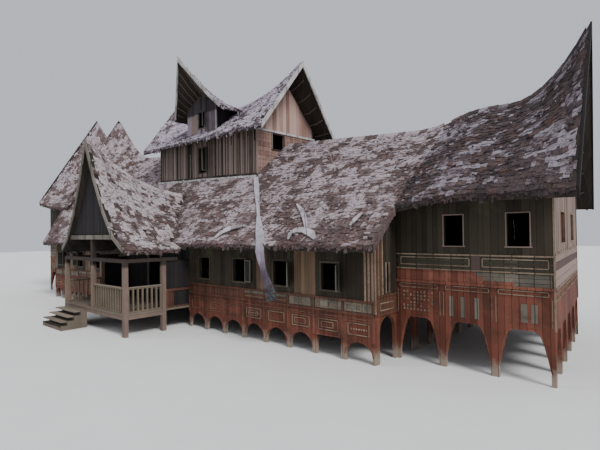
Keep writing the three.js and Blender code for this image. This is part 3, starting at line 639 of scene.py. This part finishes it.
def ridge_caps(build, slopes, start, stop, ridge, half):
    """Saddle-shaped caps laid along a ridge, each over the end of the one before."""
    def section(a, up):
        places = ((slopes[0], -half), (slopes[0], -0.004), (slopes[1], half))
        hits = [top(a, ridge + shift) for top, shift in places]
        if None in hits:
            return None
        tops = [hit[0] + UP * (up + crest) for hit, crest in zip(hits, (0, 0.03, 0))]
        return tops + [hit[0] - UP * 0.05 for hit in reversed(hits)]

    length, overlap = 0.34, 1.08
    count = int((stop - start) / length)
    for k in range(count):
        a, b = (start + (stop - start) * (k + j) / count for j in (0, overlap))
        ends = [section(a, 0.05), section(min(b, stop), 0.075)]
        if None not in ends:
            build.prism(*ends, RNG.random())


def batten(build, node, start, stop):
    """A batten in two parts on the underside of a roof, between two points of its plan."""
    width, depth, parts = 0.06, 0.05, 2
    points = []
    for k in range(parts + 1):
        x, y = (a + (b - a) * k / parts for a, b in zip(start, stop))
        z = height_at(node, x, y, up=True)
        if z is None:
            return
        points.append(Vector((x, y + FRONT, z)))
    direction = (points[-1] - points[0]).normalized()
    side = direction.cross(UP).normalized() * width / 2
    down = UP * depth
    tone = RNG.random()
    for p, q in zip(points, points[1:]):
        build.prism(*[[c + side, c - side, c - side - down, c + side - down] for c in (p, q)], tone)


def gable_boards(name, material, half, apex_y, foot_y, eave, top, curve):
    """The boards along the front edge of a horned gable roof, from each foot to the apex."""
    build, width, steps = Build(), 0.17, 4
    front, back = Vector((0, -0.05, 0.03)), Vector((0, -0.004, 0.03))
    for sign in SIGNS:
        upper, lower = [], []
        for k in range(steps + 1):
            out = 1 - k / steps
            y = apex_y + (foot_y - apex_y) * out + FRONT
            upper.append(Vector((sign * half * out, y, eave + (top - eave) * (1 - out) ** curve)))
        for k, point in enumerate(upper[:-1]):
            ahead = upper[k + 1] - upper[max(k - 1, 0)]
            ahead = Vector((ahead.x, 0, ahead.z)).normalized()
            lower.append(point + Vector((-sign * ahead.z, 0, -abs(ahead.x))) * width)
        last = upper[-1] - upper[-2]
        lower.append(upper[-1] - UP * (width * last.length / max(abs(last.x), 0.05)))
        for k in range(steps):
            around = [upper[k], upper[k + 1], lower[k + 1], lower[k]]
            build.prism([p + front for p in around], [p + back for p in around], RNG.random())
    build.piece(name, material, "pale_trim")


def both_slopes(part, eave, start, stop, spacing, material):
    """The courses of a roof's front slope, and of the rear one that mirrors it."""
    for half, edge, ridge in (("front", eave, RIDGE_Y - 0.01), ("rear", 2 * RIDGE_Y - eave, RIDGE_Y + 0.01)):
        node = f"{part}_roof_{half}"
        slope(f"{part}_{half}_courses", node, 0, edge, ridge, start, stop, spacing, material)


def main_roof_ends():
    """The covering's edges at the gables of the middle part; the left ones lean out."""
    build = Build()
    for half, y0, y1, y2 in (("front", -0.57, 0.78, 5.2), ("rear", 11.07, 9.72, 5.3)):
        top = roof_top(f"main_roof_{half}", 0)
        verge(build, top, lambda y: 13.57, y0, y1, 1)
        verge(build, top, lambda y: -13.87 - 0.57 * (1 - abs(y - RIDGE_Y) / 5.85), y0, y2, -1)
    build.piece("main_roof_ends", ROOF, "roofing")


def ridges():
    """Caps on all ridges; a row holds a piece, a roof, its axis, the ridge's ends and half a cap's width."""
    looks = {"ridge_caps": ROOF, "wing_ridge_caps": WING_ROOF, "tower_ridge_caps": TOWER_ROOF,
             "porch_ridge_caps": PORCH_ROOF}
    rows = (
        ("ridge_caps", "main_roof", 0, -14.2, -4.6, 0.2),
        ("ridge_caps", "main_roof", 0, 4.6, 13.6, 0.2),
        ("wing_ridge_caps", "right_wing_roof", 0, 13.62, 18.3, 0.2),
        ("ridge_caps", "left_wing_roof", 0, -18.3, -13.3, 0.2),
        ("tower_ridge_caps", "tower_roof", 0, -5.55, 5.55, 0.2),
        ("tower_ridge_caps", "tower_dormer_roof", 1, 1.6, 4.9, 0.12),
        ("porch_ridge_caps", "porch_roof", 1, -3.3, 2.6, 0.12),
    )
    caps = {name: Build() for name in looks}
    for name, roof, axis, start, stop, half in rows:
        nodes = (roof, roof) if axis else (f"{roof}_front", f"{roof}_rear")
        slopes = [roof_top(node, axis) for node in nodes]
        ridge_caps(caps[name], slopes, start, stop, 0.0 if axis else RIDGE_Y, half)
    for name, material in looks.items():
        caps[name].piece(name, material, "roofing")


def roofs():
    """The covering of every roof; the order of the calls is the order of the random draws."""
    both_slopes("main", -0.6, -14.4, 13.58, 0.21, ROOF)
    main_roof_ends()
    both_slopes("right_wing", 0.8, 13.2, 18.78, 0.21, WING_ROOF)
    both_slopes("left_wing", 0.8, -18.78, -13.2, 0.21, ROOF)
    both_slopes("tower", 2.45, -5.62, 5.62, 0.19, TOWER_ROOF)
    for side, sign in SIDES:
        for part, node, half, start, stop, spacing, material in (
                ("dormer", "tower_dormer_roof", DORMER_ROOF_HALF, 1.5, 5.0, 0.18, TOWER_ROOF),
                ("porch", "porch_roof", PORCH_ROOF_HALF, -3.46, 2.7, 0.2, PORCH_ROOF)):
            slope(f"{part}_{side}_courses", node, 1, sign * half, sign * 0.01, start, stop, spacing, material)
    ridges()


def gables():
    gable_boards("porch_gable_boards", OLD_PALE, PORCH_ROOF_HALF,
                 apex_y=-3.48, foot_y=-3.3, eave=3.65, top=8.76, curve=1.6)
    gable_boards("dormer_gable_boards", PALE, DORMER_ROOF_HALF,
                 apex_y=1.46, foot_y=2.65, eave=11.07, top=13.87, curve=1.1)


def battens():
    """Battens under the edges of the roofs: along the tower, the wings, the dormer and the middle part."""
    build = Build()
    for side, sign in SIDES:
        for k in range(11):
            y = 2.6 + 0.5 * k
            batten(build, f"tower_roof_{half_at(y)}", (sign * 4.44, y), (sign * 5.4, y))
        for k in range(15):
            y = 1.0 + 0.58 * k
            reach = 18.2 - max(0, y - RIDGE_Y) * 0.2
            batten(build, f"{side}_wing_roof_{half_at(y)}", (sign * (reach - 0.5), y), (sign * reach, y))
    for k in range(-6, 7):
        x = 0.3 * k
        batten(build, "tower_dormer_roof", (x, 1.6 + 0.165 * abs(k)), (x, 2.98))
    for k in range(-24, 25):
        x = 0.55 * k
        if abs(x) > 3.3:
            batten(build, "main_roof_front", (x, -0.56), (x, -0.03))
        batten(build, "main_roof_rear", (x, 11.06), (x, 10.53))
    build.piece("roof_battens", BATTEN, "dark_board")


def half_at(y):
    return "front" if y < RIDGE_Y else "rear"


def span(sign, near, far):
    """The ends, in order, of a stretch on one side of the middle."""
    return sorted((sign * near, sign * far))


def windows(centres, half, low, high):
    """Openings of one size, each as its two ends, its sill and its head."""
    return [(a - half, a + half, low, high) for a in centres]


WINDOW_SILL, WINDOW_HEAD = 2.3, 3.22
FRONT_CENTRES = (4.25, 6.65, 9.05, 11.45)
FRONT_WINDOWS = windows([s * a for s in SIGNS for a in FRONT_CENTRES], 0.375, WINDOW_SILL, WINDOW_HEAD)
WING_HOLES = windows((15.3, 17.21), 0.31, 3.82, 4.77)
WING_REAR_HOLES = windows((14.5, 16.1), 0.31, 3.82, 4.77)
WING_END_HOLES = [(1.76, 2.86, 3.88, 4.83), (5.14, 6.24, 3.88, 4.83)]
TOWER_HOLES = [(-0.39, 0.3, 7.75, 9.16)]
TOWER_SIDE_HOLES = [(4.17, 5.05, 8.65, 9.45)]
DORMER_HOLES = [(-0.3, 0.26, 10.25, 11.15)]


def on_side(sign, holes):
    """The openings of the right half, moved to the half that sign tells."""
    return [(*span(sign, a, b), low, high) for a, b, low, high in holes]


def casings(build, plane, holes, width, out):
    """Boards round each opening, with its sill a little wider."""
    for a0, a1, z0, z1 in holes:
        b0, b1 = a0 - width, a1 + width
        plane.board(build, b0, a0, z0, z1, out)
        plane.board(build, a1, b1, z0, z1, out)
        plane.board(build, b0, b1, z1, z1 + width, out)
        plane.board(build, b0 - 0.03, b1 + 0.03, z0 - width, z0, out)


def leaf(frames, panels, plane, hinge, width, z0, z1, turn, side=1):
    """A shutter leaf hung at one edge of a window and turned out: a frame round two dark panels."""
    spot = plane.at(hinge, 0, 0.05)
    angle = math.radians(turn)
    direction = plane.along * (side * math.cos(angle)) + plane.out * math.sin(angle)
    face = Plane(spot.x, spot.y - FRONT, direction.x, direction.y, direction.y, -direction.x)
    rail, thick, panel_thick, joint = 0.045, 0.018, 0.008, 0.003
    inner, low, high = width - rail, z0 + rail, z1 - rail
    for a0, a1, b0, b1 in ((0, rail, z0, z1), (inner, width, z0, z1),
                           (rail, inner, z0, low), (rail, inner, high, z1)):
        face.plate(frames, a0, a1, b0, b1, -thick, thick, RNG.random())
    half = (width - 2 * rail) / 2
    for k in range(2):
        a0, a1 = rail + k * half + joint, rail + (k + 1) * half - joint
        face.plate(panels, a0, a1, low, high, -panel_thick, panel_thick, RNG.random())


ROUND = [(math.cos(math.pi * n / 8), math.sin(math.pi * n / 8)) for n in range(5)]


def arch_line(build, plane, centre, reach, spring, crown, half=ROUND):
    """A line drawn round an arch; half is the arch's shape from its leg to its crown."""
    gap = 0.03
    wide, rise = reach + gap, crown + gap - spring
    left = [(centre - wide * a, spring + rise * b) for a, b in half]
    right = [(centre + wide * a, spring + rise * b) for a, b in half[-2::-1]]
    plane.line(build, left + right, 0.028, 0.012)


def middle_skirts(cream, faint, red, green):
    """Rails, drawn outlines and panels of the skirts below the middle part."""
    face = FRONT_FACE
    for sign in SIGNS:
        for k in range(BAYS + 1):
            mark = sign * (PORCH_HALF + ARCH_PITCH * k)
            between = 0 < k < BAYS
            inward = sign if k else -sign
            ends = (mark - 0.035, mark + 0.035) if between else sorted((mark - 0.06 * inward - 0.03, mark))
            face.board(red, *ends, 0.7, 2.02, 0.035)
            for shift in (-0.06, 0.06) if between else ():
                face.upright(faint, mark + shift, 0.75, 1.58, 0.016, 0.012)
        for k in range(BAYS):
            centre = sign * (PORCH_HALF + ARCH_PITCH * (k + 0.5))
            if (sign, k) == BROKEN_BAY:
                face.board(red, centre - 0.55, centre + 0.55, 0.7, 0.76, 0.03, 0.2)
            else:
                arch_line(red, face, centre, 0.537, *LOW_ARCH)
            outline = faint if sign > 0 and k < 3 else cream
            face.box(outline, centre - 0.42, centre + 0.42, 0.9, 1.27, 0.024, 0.022)
            if k in (1, 3, 5, 6):
                face.box(outline, centre - 0.3, centre + 0.22, 0.99, 1.18, 0.02, 0.022)
            if k in (3, 7):
                for n in range(7):
                    spot = centre - 0.3 + 0.1 * n
                    face.board(cream, spot, spot + 0.05, 1.06, 1.11, 0.02)
            face.level(faint, centre - 0.56, centre + 0.56, 1.42, 0.02, 0.012)
            middle_band(cream, red, green, k, centre)
        for low, high, out in ((RAIL_FOOT, RAIL_TOP, 0.05), (1.98, 2.05, 0.06), (1.32, 1.37, 0.02)):
            face.board(red, *span(sign, PORCH_HALF, HALL_HALF), low, high, out, 0.4)


def middle_band(cream, red, green, k, centre):
    """The band over a bay of the skirt: upright boards, rails, or outlined panels far from the porch."""
    face = FRONT_FACE
    if k < 3:
        for n in range(6):
            spot = centre - 0.6 + 0.2 * n
            face.board(red, spot + 0.01, spot + 0.19, RAIL_TOP, 1.98, RNG.uniform(0.008, 0.02))
    elif k < 5:
        for n, build in enumerate((red, red, green)):
            low, high = 1.64 + 0.115 * n, 1.745 + 0.115 * n
            face.board(build, centre - 0.6, centre + 0.6, low, high, RNG.uniform(0.008, 0.02))
        face.level(cream, centre - 0.55, centre + 0.55, 1.75, 0.02, 0.025)
    else:
        face.board(green, centre - 0.58, centre + 0.58, 1.64, 1.97, 0.012)
        face.box(cream, centre - 0.5, centre + 0.12, 1.69, 1.92, 0.03, 0.025)
        face.box(cream, centre + 0.22, centre + 0.5, 1.69, 1.92, 0.024, 0.025)


def hall_end(side, sign, grey, red, cream, lining):
    """The end wall of the middle part where it stands in front of a wing, with its slot."""
    plane, node, depth, foot = side_face(sign, HALL_HALF), f"{side}_end_wall", 0.018, 2.2
    clad(red, plane, node, 0.13, 0.46, foot, (), 0.11, depth)
    clad(grey, plane, node, 0.46, 1.33, foot, [(0.69, 0.85, WINDOW_SILL, WINDOW_HEAD)], 0.16, depth)
    clad(red, plane, node, 0.13, 1.33, RAIL_TOP, (), 0.2, depth, foot)
    for a0, a1, low in ((0.0, 0.05, RAIL_TOP), (0.2, 0.24, foot), (0.42, 0.47, foot)):
        plane.board(cream, a0, a1, low, top_of(node, plane, max(a0 + 0.03, 0.15)), 0.04)
    for a0, a1 in ((0.64, 0.685), (0.855, 0.9)):
        plane.board(cream, a0, a1, 2.24, 3.28, 0.04)
    for a0, a1 in ((0.688, 0.696), (0.843, 0.852)):
        plane.plate(lining, a0, a1, WINDOW_SILL, WINDOW_HEAD, -0.118, 0.0)
    for low, high in ((RAIL_FOOT, RAIL_TOP), (2.16, 2.22)):
        plane.board(red, 0.13, 1.35, low, high, 0.04)
    plane.box(cream, 0.3, 1.1, 1.72, 1.95, 0.03, 0.02)
    arch_line(red, plane, 0.76, 0.48, spring=1.0, crown=1.5)


def middle_walls():
    """Board cladding, windows and trims of the middle part."""
    grey, red, cream, green, frames, brown, faint, lining = builds(8)
    stretches = ((3.06, 7.7, grey), (7.7, 8.3, brown), (8.3, 9.75, grey),
                 (9.75, 10.8, brown), (10.8, 12.9, grey))
    foot = 2.03
    for side, sign in SIDES:
        wall = f"{side}_front_wall"
        for start, stop, build in stretches:
            clad(build, FRONT_FACE, wall, *span(sign, start, stop), foot, FRONT_WINDOWS, 0.19)
        clad(red, FRONT_FACE, wall, *span(sign, 12.9, 13.24), foot, (), 0.17)
        for spot in (12.92, 13.06, 13.2):
            top = top_of(wall, FRONT_FACE, sign * spot)
            FRONT_FACE.board(cream, sign * spot - 0.035, sign * spot + 0.035, foot, top, 0.045)
        hall_end(side, sign, grey, red, cream, lining)
    clad(grey, REAR_FACE, "rear_wall", -13.24, 13.24, RAIL_TOP, FRONT_WINDOWS)
    REAR_FACE.board(red, -HALL_HALF, HALL_HALF, RAIL_FOOT, RAIL_TOP + 0.01, 0.05, 0.5)
    for k in range(REAR_BAYS):
        arch_line(red, REAR_FACE, -HALL_HALF + 2 * HALL_HALF / REAR_BAYS * (k + 0.5), 0.5, *LOW_ARCH)
    for plane in (FRONT_FACE, REAR_FACE):
        casings(frames, plane, FRONT_WINDOWS, 0.07, 0.045)
    middle_skirts(cream, faint, red, green)
    grey.piece("middle_wall_boards", GREY_BARE, "grey_board")
    red.piece("middle_red_boards", RED_STAINED, "red_board")
    cream.piece("middle_trim", CREAM, "pale_trim")
    green.piece("middle_panels", PANEL, "grey_board")
    frames.piece("middle_window_frames", WINDOW_FRAME, "frame_timber")
    brown.piece("middle_brown_boards", BROWN_BARE, "grey_board")
    faint.piece("middle_worn_trim", WORN, "pale_trim")
    lining.piece("slot_linings", DARK_BARE, "dark_board")


def shutters():
    """Shutter leaves, open but for those at the back of the wings; they stand still."""
    both = builds(2)
    for sign in SIGNS:
        for edge, turn, width in ((7.035, 9, 0.42), (9.435, 48, 0.35), (11.835, 66, 0.35)):
            leaf(*both, FRONT_FACE, sign * edge, width, WINDOW_SILL, 3.2, turn, sign)
    for plane, edge, width, low, high, turn in ((TOWER_FACE, 0.31, 0.34, 7.8, 9.1, 75),
                                                (DORMER_FACE, 0.27, 0.28, 10.28, 11.1, 60),
                                                (TOWER_REAR_FACE, 0.31, 0.34, 7.8, 9.1, 75)):
        leaf(*both, plane, edge, width, low, high, turn)
    for centre in (-9.05, -4.25, 4.25, 11.45):
        leaf(*both, REAR_FACE, centre + 0.385, 0.35, 2.32, 3.2, 30)
    for sign in SIGNS:
        for edge, side in ((14.17, 1), (14.835, -1), (15.77, 1), (16.435, -1)):
            leaf(*both, WING_REAR_FACE, sign * edge, 0.33, 3.79, 4.8, 0, sign * side)
    both[0].piece("shutter_frames", SHUTTER, "pale_trim")
    both[1].piece("shutter_panels", DARK, "dark_board")


def wing_band(plane, start, stop, cream, green, grey, stile):
    """Outlined panels and rails between a wing's windows and its red skirt."""
    for z in (3.54, 3.07):
        plane.level(cream, start, stop, z, 0.045, 0.04)
    middle, foot, head = start + 0.56 * (stop - start), 3.1, 3.51
    plane.board(green, start + 0.05, stop - 0.05, foot, head, 0.012)
    for a0, a1 in ((start + 0.15, middle - 0.2), (middle + 0.2, stop - 0.12)):
        plane.box(cream, a0, a1, 3.2, 3.44, 0.03, 0.03)
    plane.board(stile, middle - 0.13, middle + 0.13, foot, head, 0.035, -0.6)
    plane.board(grey, start, stop, 3.28, 3.34, 0.02)


def wing_skirt(plane, start, stop, cream, red, worn):
    """The red part of a wing front: long outlines, upright lines, pale slots and arches."""
    pitch = (stop - start) / 3
    plane.board(red, start, stop, 2.6, 2.68, 0.045, 0.5)
    for k in range(3):
        base = start + pitch * k
        plane.box(cream, base + 0.14, base + pitch - 0.14, 2.44, 2.56, 0.028, 0.02)
        arch_line(red, plane, base + pitch / 2, (pitch - 0.23) / 2, *WING_ARCH)
        for edge in (base + 0.06, base + pitch - 0.06):
            plane.upright(cream, edge, 1.6, 2.36, 0.02, 0.012)
    for n in range(9):
        for m in range(6):
            if RNG.random() < 0.75:
                a, low = start + 0.26 + 0.125 * n, 1.68 + 0.115 * m
                build = worn if RNG.random() < 0.3 else cream
                plane.board(build, a, a + RNG.uniform(0.03, 0.07), low, low + RNG.uniform(0.04, 0.09), 0.016)
    for bay, spots, width, low, high, tone in ((1, (0.25, 0.62, 1.05), 0.13, 1.62, 2.25, 0.8),
                                               (2, (0.75, 1.02), 0.17, 1.68, 2.2, 0.9)):
        for spot in spots:
            a = start + bay * pitch + spot
            plane.board(worn, a, a + width, low, high, 0.014, tone)


def wings():
    """Board cladding, windows and trims of the raised end wings."""
    grey, red, cream, green, end_grey, worn = builds(6)
    for side, sign in SIDES:
        wall, inner, outer, worn_from = f"{side}_wing_front_wall", 13.29, 18.08, 16.0
        holes, rear_holes = on_side(sign, WING_HOLES), on_side(sign, WING_REAR_HOLES)
        clad(grey, WING_FACE, wall, *span(sign, inner, outer), 3.5, holes)
        outward = Plane(0, WING_FRONT_Y, sign, 0, 0, -1)
        wing_band(outward, 13.3, 18.1, cream, green, grey, end_grey)
        clad(red, WING_FACE, wall, *span(sign, inner, worn_from), 2.66, (), 0.3, 0.015, 3.06)
        for low, high in ((2.66, 2.78), (2.79, 2.91), (2.92, 3.03)):
            shorter = worn_from + (2.9 - low) * 1.6 + (0.7 if low < 2.7 else 0)
            outward.board(worn, shorter, 18.06, low, high, RNG.uniform(0.012, 0.02))
        outward.board(red, worn_from, 17.1, 2.66, 3.03, 0.011, 0.7)
        wing_skirt(outward, 13.26, WING_CORNER, cream, red, worn)
        casings(end_grey, WING_FACE, holes, 0.035, 0.03)
        wing_end(side, sign, cream, end_grey, red)
        clad(grey, WING_REAR_FACE, f"{side}_wing_rear_wall", *span(sign, inner, 17.08), 1.6, rear_holes)
        casings(cream, WING_REAR_FACE, rear_holes, 0.045, 0.035)
    grey.piece("wing_wall_boards", GREY_BARE, "grey_board")
    red.piece("wing_red_boards", RED_BARE, "red_board")
    cream.piece("wing_trim", CREAM, "pale_trim")
    green.piece("wing_panels", GREEN, "grey_board")
    end_grey.piece("wing_end_boards", END_BOARDS, "grey_board")
    worn.piece("wing_worn_panels", PANEL, "grey_board")


def wing_end(side, sign, cream, grey, red):
    """A wing's skewed end wall: posts and windows above, lying boards, then the outlines of its skirt."""
    plane = wing_end_face(sign)
    node = f"{side}_wing_end_wall"
    length = math.hypot(*SKEW)
    for a0, a1 in ((0.0, 0.1), (length - 0.1, length - 0.02)):
        top = top_of(node, plane, min(max(a0, 0.16), length - 0.2), 0.06)
        plane.board(cream, a0, a1, 1.5, top, 0.035, 0.6)
    clad(grey, plane, node, 0.16, length - 0.16, 3.62, WING_END_HOLES, 0.24)
    casings(cream, plane, WING_END_HOLES, 0.05, 0.03)
    for k, tone in enumerate((0.9, 1.0, -0.9, 0.7)):
        low = 2.68 + 0.235 * k
        plane.board(grey, 0.1, length - 0.12, low, low + 0.22, RNG.uniform(*RELIEF), tone)
    for z in (3.6, 2.64):
        plane.level(cream, 0.05, length - 0.1, z, 0.06, 0.045)
    pitch = length / 5
    for k in range(5):
        arch_line(red, plane, pitch * (k + 0.5), (pitch - 0.23) / 2, *WING_ARCH)
        plane.box(cream, pitch * k + 0.15, pitch * (k + 1) - 0.15, 2.3, 2.5, 0.028, 0.02)


def tower_side(side, sign, grey, gable, lying, pale):
    """A side of the tower: lying boards round its opening, and upright boards in the gable."""
    plane, width = side_face(sign, TOWER_HALF), 0.205
    for k in range(14):
        low = 6.5 + 0.22 * k
        below = [(4.14, 5.08)] if low + 0.2 < TOWER_SIDE_HOLES[0][2] else []
        for a0, a1 in [(3.06, 4.14), (5.08, 7.44)] + below:
            plane.board(lying, a0, a1, low, min(low + width, 9.5), RNG.uniform(*RELIEF))
    clad(gable, plane, f"tower_{side}_wall", 3.18, 7.3, 9.52, (), 0.26, 0.03)
    plane.board(pale, 3.0, 7.5, 9.5, 9.6, 0.08, 0.4)
    casings(grey, plane, TOWER_SIDE_HOLES, 0.05, 0.05)
    for a0, a1 in ((3.04, 3.13), (7.37, 7.46)):
        plane.board(grey, a0, a1, 6.4, 9.47, 0.045, 0.9)


def tower_front(plane, roof, depth, grey, dark, pale):
    """The tower's front or rear: bleached and dark strips, and boards where the main roof meets it."""
    def beside_window(spot):
        return not -0.5 < spot < 0.4

    foot = 6.4
    casings(grey, plane, TOWER_HOLES, 0.05, 0.04)
    for k in range(24):
        spot = -4.3 + 8.6 * (k + RNG.uniform(-0.3, 0.3)) / 23
        if beside_window(spot):
            plane.plate(grey, spot - 0.018, spot + 0.018, foot, RNG.uniform(8.9, 9.4), 0.01, 0.04, 1.0)
    for k in range(34):
        spot = -4.35 + 8.7 * (k + RNG.uniform(-0.4, 0.4)) / 33
        if beside_window(spot):
            half = RNG.uniform(0.012, 0.03)
            plane.plate(dark, spot - half, spot + half, foot, 9.6, 0.01, 0.034, RNG.random())
    for k in range(18):
        a0, a1 = (-4.45 + 0.495 * j for j in (k, k + 1))
        low = height_at(roof, (a0 + a1) / 2, depth)
        plane.plate(grey, a0, a1, low + 0.06, low + 0.2, 0.02, RNG.uniform(0.045, 0.06), 0.2 * RNG.random())
        plane.plate(pale, a0, a1, low - 0.03, low + 0.07, 0.02, RNG.uniform(0.15, 0.2), RNG.random())


def dormer(grey, dark, upper):
    """The boards of the dormer's face and cheeks, and a bleached board beside its window."""
    node, foot = "tower_dormer_wall", 9.9
    clad(upper, DORMER_FACE, node, -1.34, 1.34, foot, DORMER_HOLES, 0.22, 0.03)
    for sign in SIGNS:
        clad(dark, side_face(sign, 1.35), node, 3.02, 4.6, foot, (), 0.24, 0.02)
        DORMER_FACE.board(upper, sign * 1.3 - 0.05, sign * 1.3 + 0.05, 9.95, 11.4, 0.045, 0.9)
    DORMER_FACE.plate(grey, -0.98, -0.4, 10.0, 11.02, 0.0, 0.036, 0.9)
    casings(upper, DORMER_FACE, DORMER_HOLES, 0.05, 0.05)


def tower():
    grey, gable, lying, pale, dark, upper = builds(6)
    for plane, half in ((TOWER_FACE, "front"), (TOWER_REAR_FACE, "rear")):
        clad(grey, plane, f"tower_{half}_wall", -4.41, 4.41, 6.32, TOWER_HOLES, 0.15, 0.03)
    for side, sign in SIDES:
        tower_side(side, sign, grey, gable, lying, pale)
    tower_front(TOWER_FACE, "main_roof_front", 2.95, grey, dark, pale)
    tower_front(TOWER_REAR_FACE, "main_roof_rear", 7.55, grey, dark, pale)
    dormer(grey, dark, upper)
    upper.piece("dormer_boards", DORMER_BARE, "grey_board")
    grey.piece("tower_wall_boards", TOWER_GREY_BARE, "grey_board")
    gable.piece("tower_gable_boards", TAN, "grey_board")
    lying.piece("tower_side_boards", TAN_SIDE, "grey_board")
    pale.piece("tower_trim", PALE, "pale_trim")
    dark.piece("dormer_cheeks", DARK_BARE, "dark_board")


def porch_side(sign, dark, timbers, red):
    """A side of the porch: the boards and rails of its wall, the edge of its floor and its railing's top."""
    face = side_face(sign, 3.04)
    for k in range(6):
        a = -1.24 + 0.205 * k
        face.board(dark, a, a + 0.195, 1.85, 3.05, RNG.uniform(0.01, 0.025))
        face.board(dark if k > 1 else red, a, a + 0.195, 1.0, 1.7, RNG.uniform(0.01, 0.02))
    for low, high in ((1.72, 1.83), (0.99, 1.06)):
        face.board(red, -1.26, -0.02, low, high, 0.04)
    side_face(sign, PORCH_HALF).plate(timbers, -3.15, -0.05, *PORCH_EDGE, -0.005, 0.02, 0.3)
    side_face(sign, 3.0).plate(timbers, -3.04, -1.46, *RAILING_TOP, -0.06, 0.06, 0.7)


def porch():
    """Boards of the porch's gable, entrance and sides, caps of its railings and treads of its steps."""
    dark, pale, timbers, red = builds(4)
    clad(dark, GABLE_FACE, "porch_gable_wall", -2.0, 2.0, 4.33, (), 0.2, 0.03)
    GABLE_FACE.plate(pale, -2.3, 2.3, 4.1, 4.3, 0.03, 0.09, 0.3)
    clad(dark, FRONT_FACE, "entrance_wall", -3.0, 3.0, 1.0, [(-0.55, 0.55, 1.55, 3.25)], 0.22, high=4.0)
    casings(timbers, FRONT_FACE, [(-0.55, 0.55, 1.62, 3.25)], 0.1, 0.05)
    for sign in SIGNS:
        porch_side(sign, dark, timbers, red)
    front = facing(-3.205, -1)
    front.plate(timbers, -3.04, 3.04, *PORCH_EDGE, -0.005, 0.045, 0.3)
    front.plate(timbers, 0.1, 2.9, *RAILING_TOP, -0.13, -0.005, 0.7)
    lowest, going, rise = -3.235 - 1.45, 0.29, 0.196
    for k in range(4):
        z = rise * (k + 1)
        tread = facing(lowest + going * k, -1)
        tread.plate(timbers, -2.7, -0.52, z - 0.03, z + 0.012, -0.27, 0.015, RNG.random())
    dark.piece("porch_boards", DARK_BARE, "dark_board")
    pale.piece("porch_tie_board", OLD_PALE, "pale_trim")
    timbers.piece("porch_trim", FRAME, "frame_timber")
    red.piece("porch_red_boards", DULL_RED, "red_board")


def over_roof(x, y):
    """A point over the front slope of the main roof, or level with its edge where it lies outside."""
    return Vector((x, y + FRONT, height_at("main_roof_front", x, max(y, -0.59)) + 0.1))


def torn_zinc():
    """The torn strip of sheet: from its top on the roof down to the eave, then hanging and twisting."""
    build = Build()
    points, sides = [], []
    steps = 8
    for k, half in enumerate((0.11, 0.125, 0.12, 0.1, 0.075, 0.065, 0.12, 0.165, 0.17)):
        t = k / steps
        points.append(over_roof(4.65 + 3.95 * t, 2.8 - 3.42 * t))
        sides.append(Vector((0.8, 0.5, 0.1)).normalized() * half)
    for k, half in enumerate((0.165, 0.14, 0.12, 0.13, 0.17, 0.2, 0.21, 0.19), 1):
        t = k / steps
        turn = 0.4 + 1.1 * math.sin(2.6 * t)
        points.append(Vector((8.62 + 0.62 * t, -0.72 + FRONT - 0.05 * math.sin(5 * t), 3.85 - 2.05 * t)))
        sides.append(Vector((math.cos(turn), math.sin(turn) * 0.7, 0.1)).normalized() * half)
    for k in range(len(points) - 1):
        ends = []
        for p, s in zip(points[k:k + 2], sides[k:k + 2]):
            lift = s.cross(points[k + 1] - points[k]).normalized() * 0.006
            ends.append([p - s + lift, p + lift * 4, p + s + lift, p + s - lift, p + lift * 2, p - s - lift])
        build.prism(*ends, RNG.random())
    build.piece("torn_zinc_strip", ZINC, "roofing")


# Paths of the pale scraps on the roof, and their half widths
SCRAPS = (
    (((9.0, 1.03), (9.53, 0.73), (9.94, 0.41), (10.31, 0.07), (10.43, -0.13)),
     (0.03, 0.09, 0.09, 0.07, 0.03)),
    (((9.96, -0.52), (9.85, -0.25), (10.06, -0.13), (10.42, -0.15), (10.89, -0.3), (11.2, -0.5)),
     (0.03, 0.1, 0.13, 0.12, 0.14, 0.05)),
    (((5.6, -0.44), (5.75, -0.14), (6.2, 0.04), (6.89, 0.12)), (0.06, 0.16, 0.14, 0.04)),
    (((12.33, 0.0), (12.38, 0.27), (12.49, 0.5)), (0.03, 0.09, 0.03)),
)


def scraps():
    build = Build()
    curl = Vector((0, -0.02, 0.03))
    roof_normal = Vector((0, -0.68, 0.73))
    for path, halves in SCRAPS:
        spots = [over_roof(x, y) for x, y in path]
        for k in range(len(spots) - 1):
            side = (spots[k + 1] - spots[k]).cross(roof_normal).normalized()
            ends = []
            for spot, half in zip(spots[k:k + 2], halves[k:k + 2]):
                left, right = spot - side * half, spot + side * half
                ends.append([left + curl, right + curl, right, left])
            build.prism(*ends, RNG.random())
    build.piece("zinc_scraps", SCRAP, "roofing")


def set_floor():
    mesh = bpy.data.meshes.new("floor")
    size = 120
    corners = [(-size, -size, 0), (size, -size, 0), (size, size, 0), (-size, size, 0)]
    mesh.from_pydata(corners, [], [(0, 1, 2, 3)])
    mesh.materials.append(floor_paint("floor"))
    place("floor", mesh)


# The look of a imported solid: the first row with a word that is part of its name
# The wings' barge boards get the dark timber as painted shade, for the shade they lie in.
NODE_LOOKS = (
    (UNDER, "roof"), (DARK_BARE, "wing_barge"), (PALE, "barge"), (RED, "skirt end_wall"),
    (DARK, "step_wall spire entrance gable_wall porch_left_wall porch_right_wall"), (RAIL, "railing"),
    (PORCH_FRAME, "porch_frame"), (FRAME, "porch_steps tower_floor"), (FLOOR, "floor"),
    (TAN_LYING, "tower_left_wall tower_right_wall"), (TOWER_GREY, "tower"), (GREY, "wall"),
)


def dress_nodes():
    for name, item in NODES.items():
        material = next(look for look, words in NODE_LOOKS if any(word in name for word in words.split()))
        item.data.materials.clear()
        item.data.materials.append(material)


set_camera()
set_light()
set_floor()
dress_nodes()
roofs()
gables()
battens()
middle_walls()
shutters()
wings()
tower()
porch()
torn_zinc()
scraps()
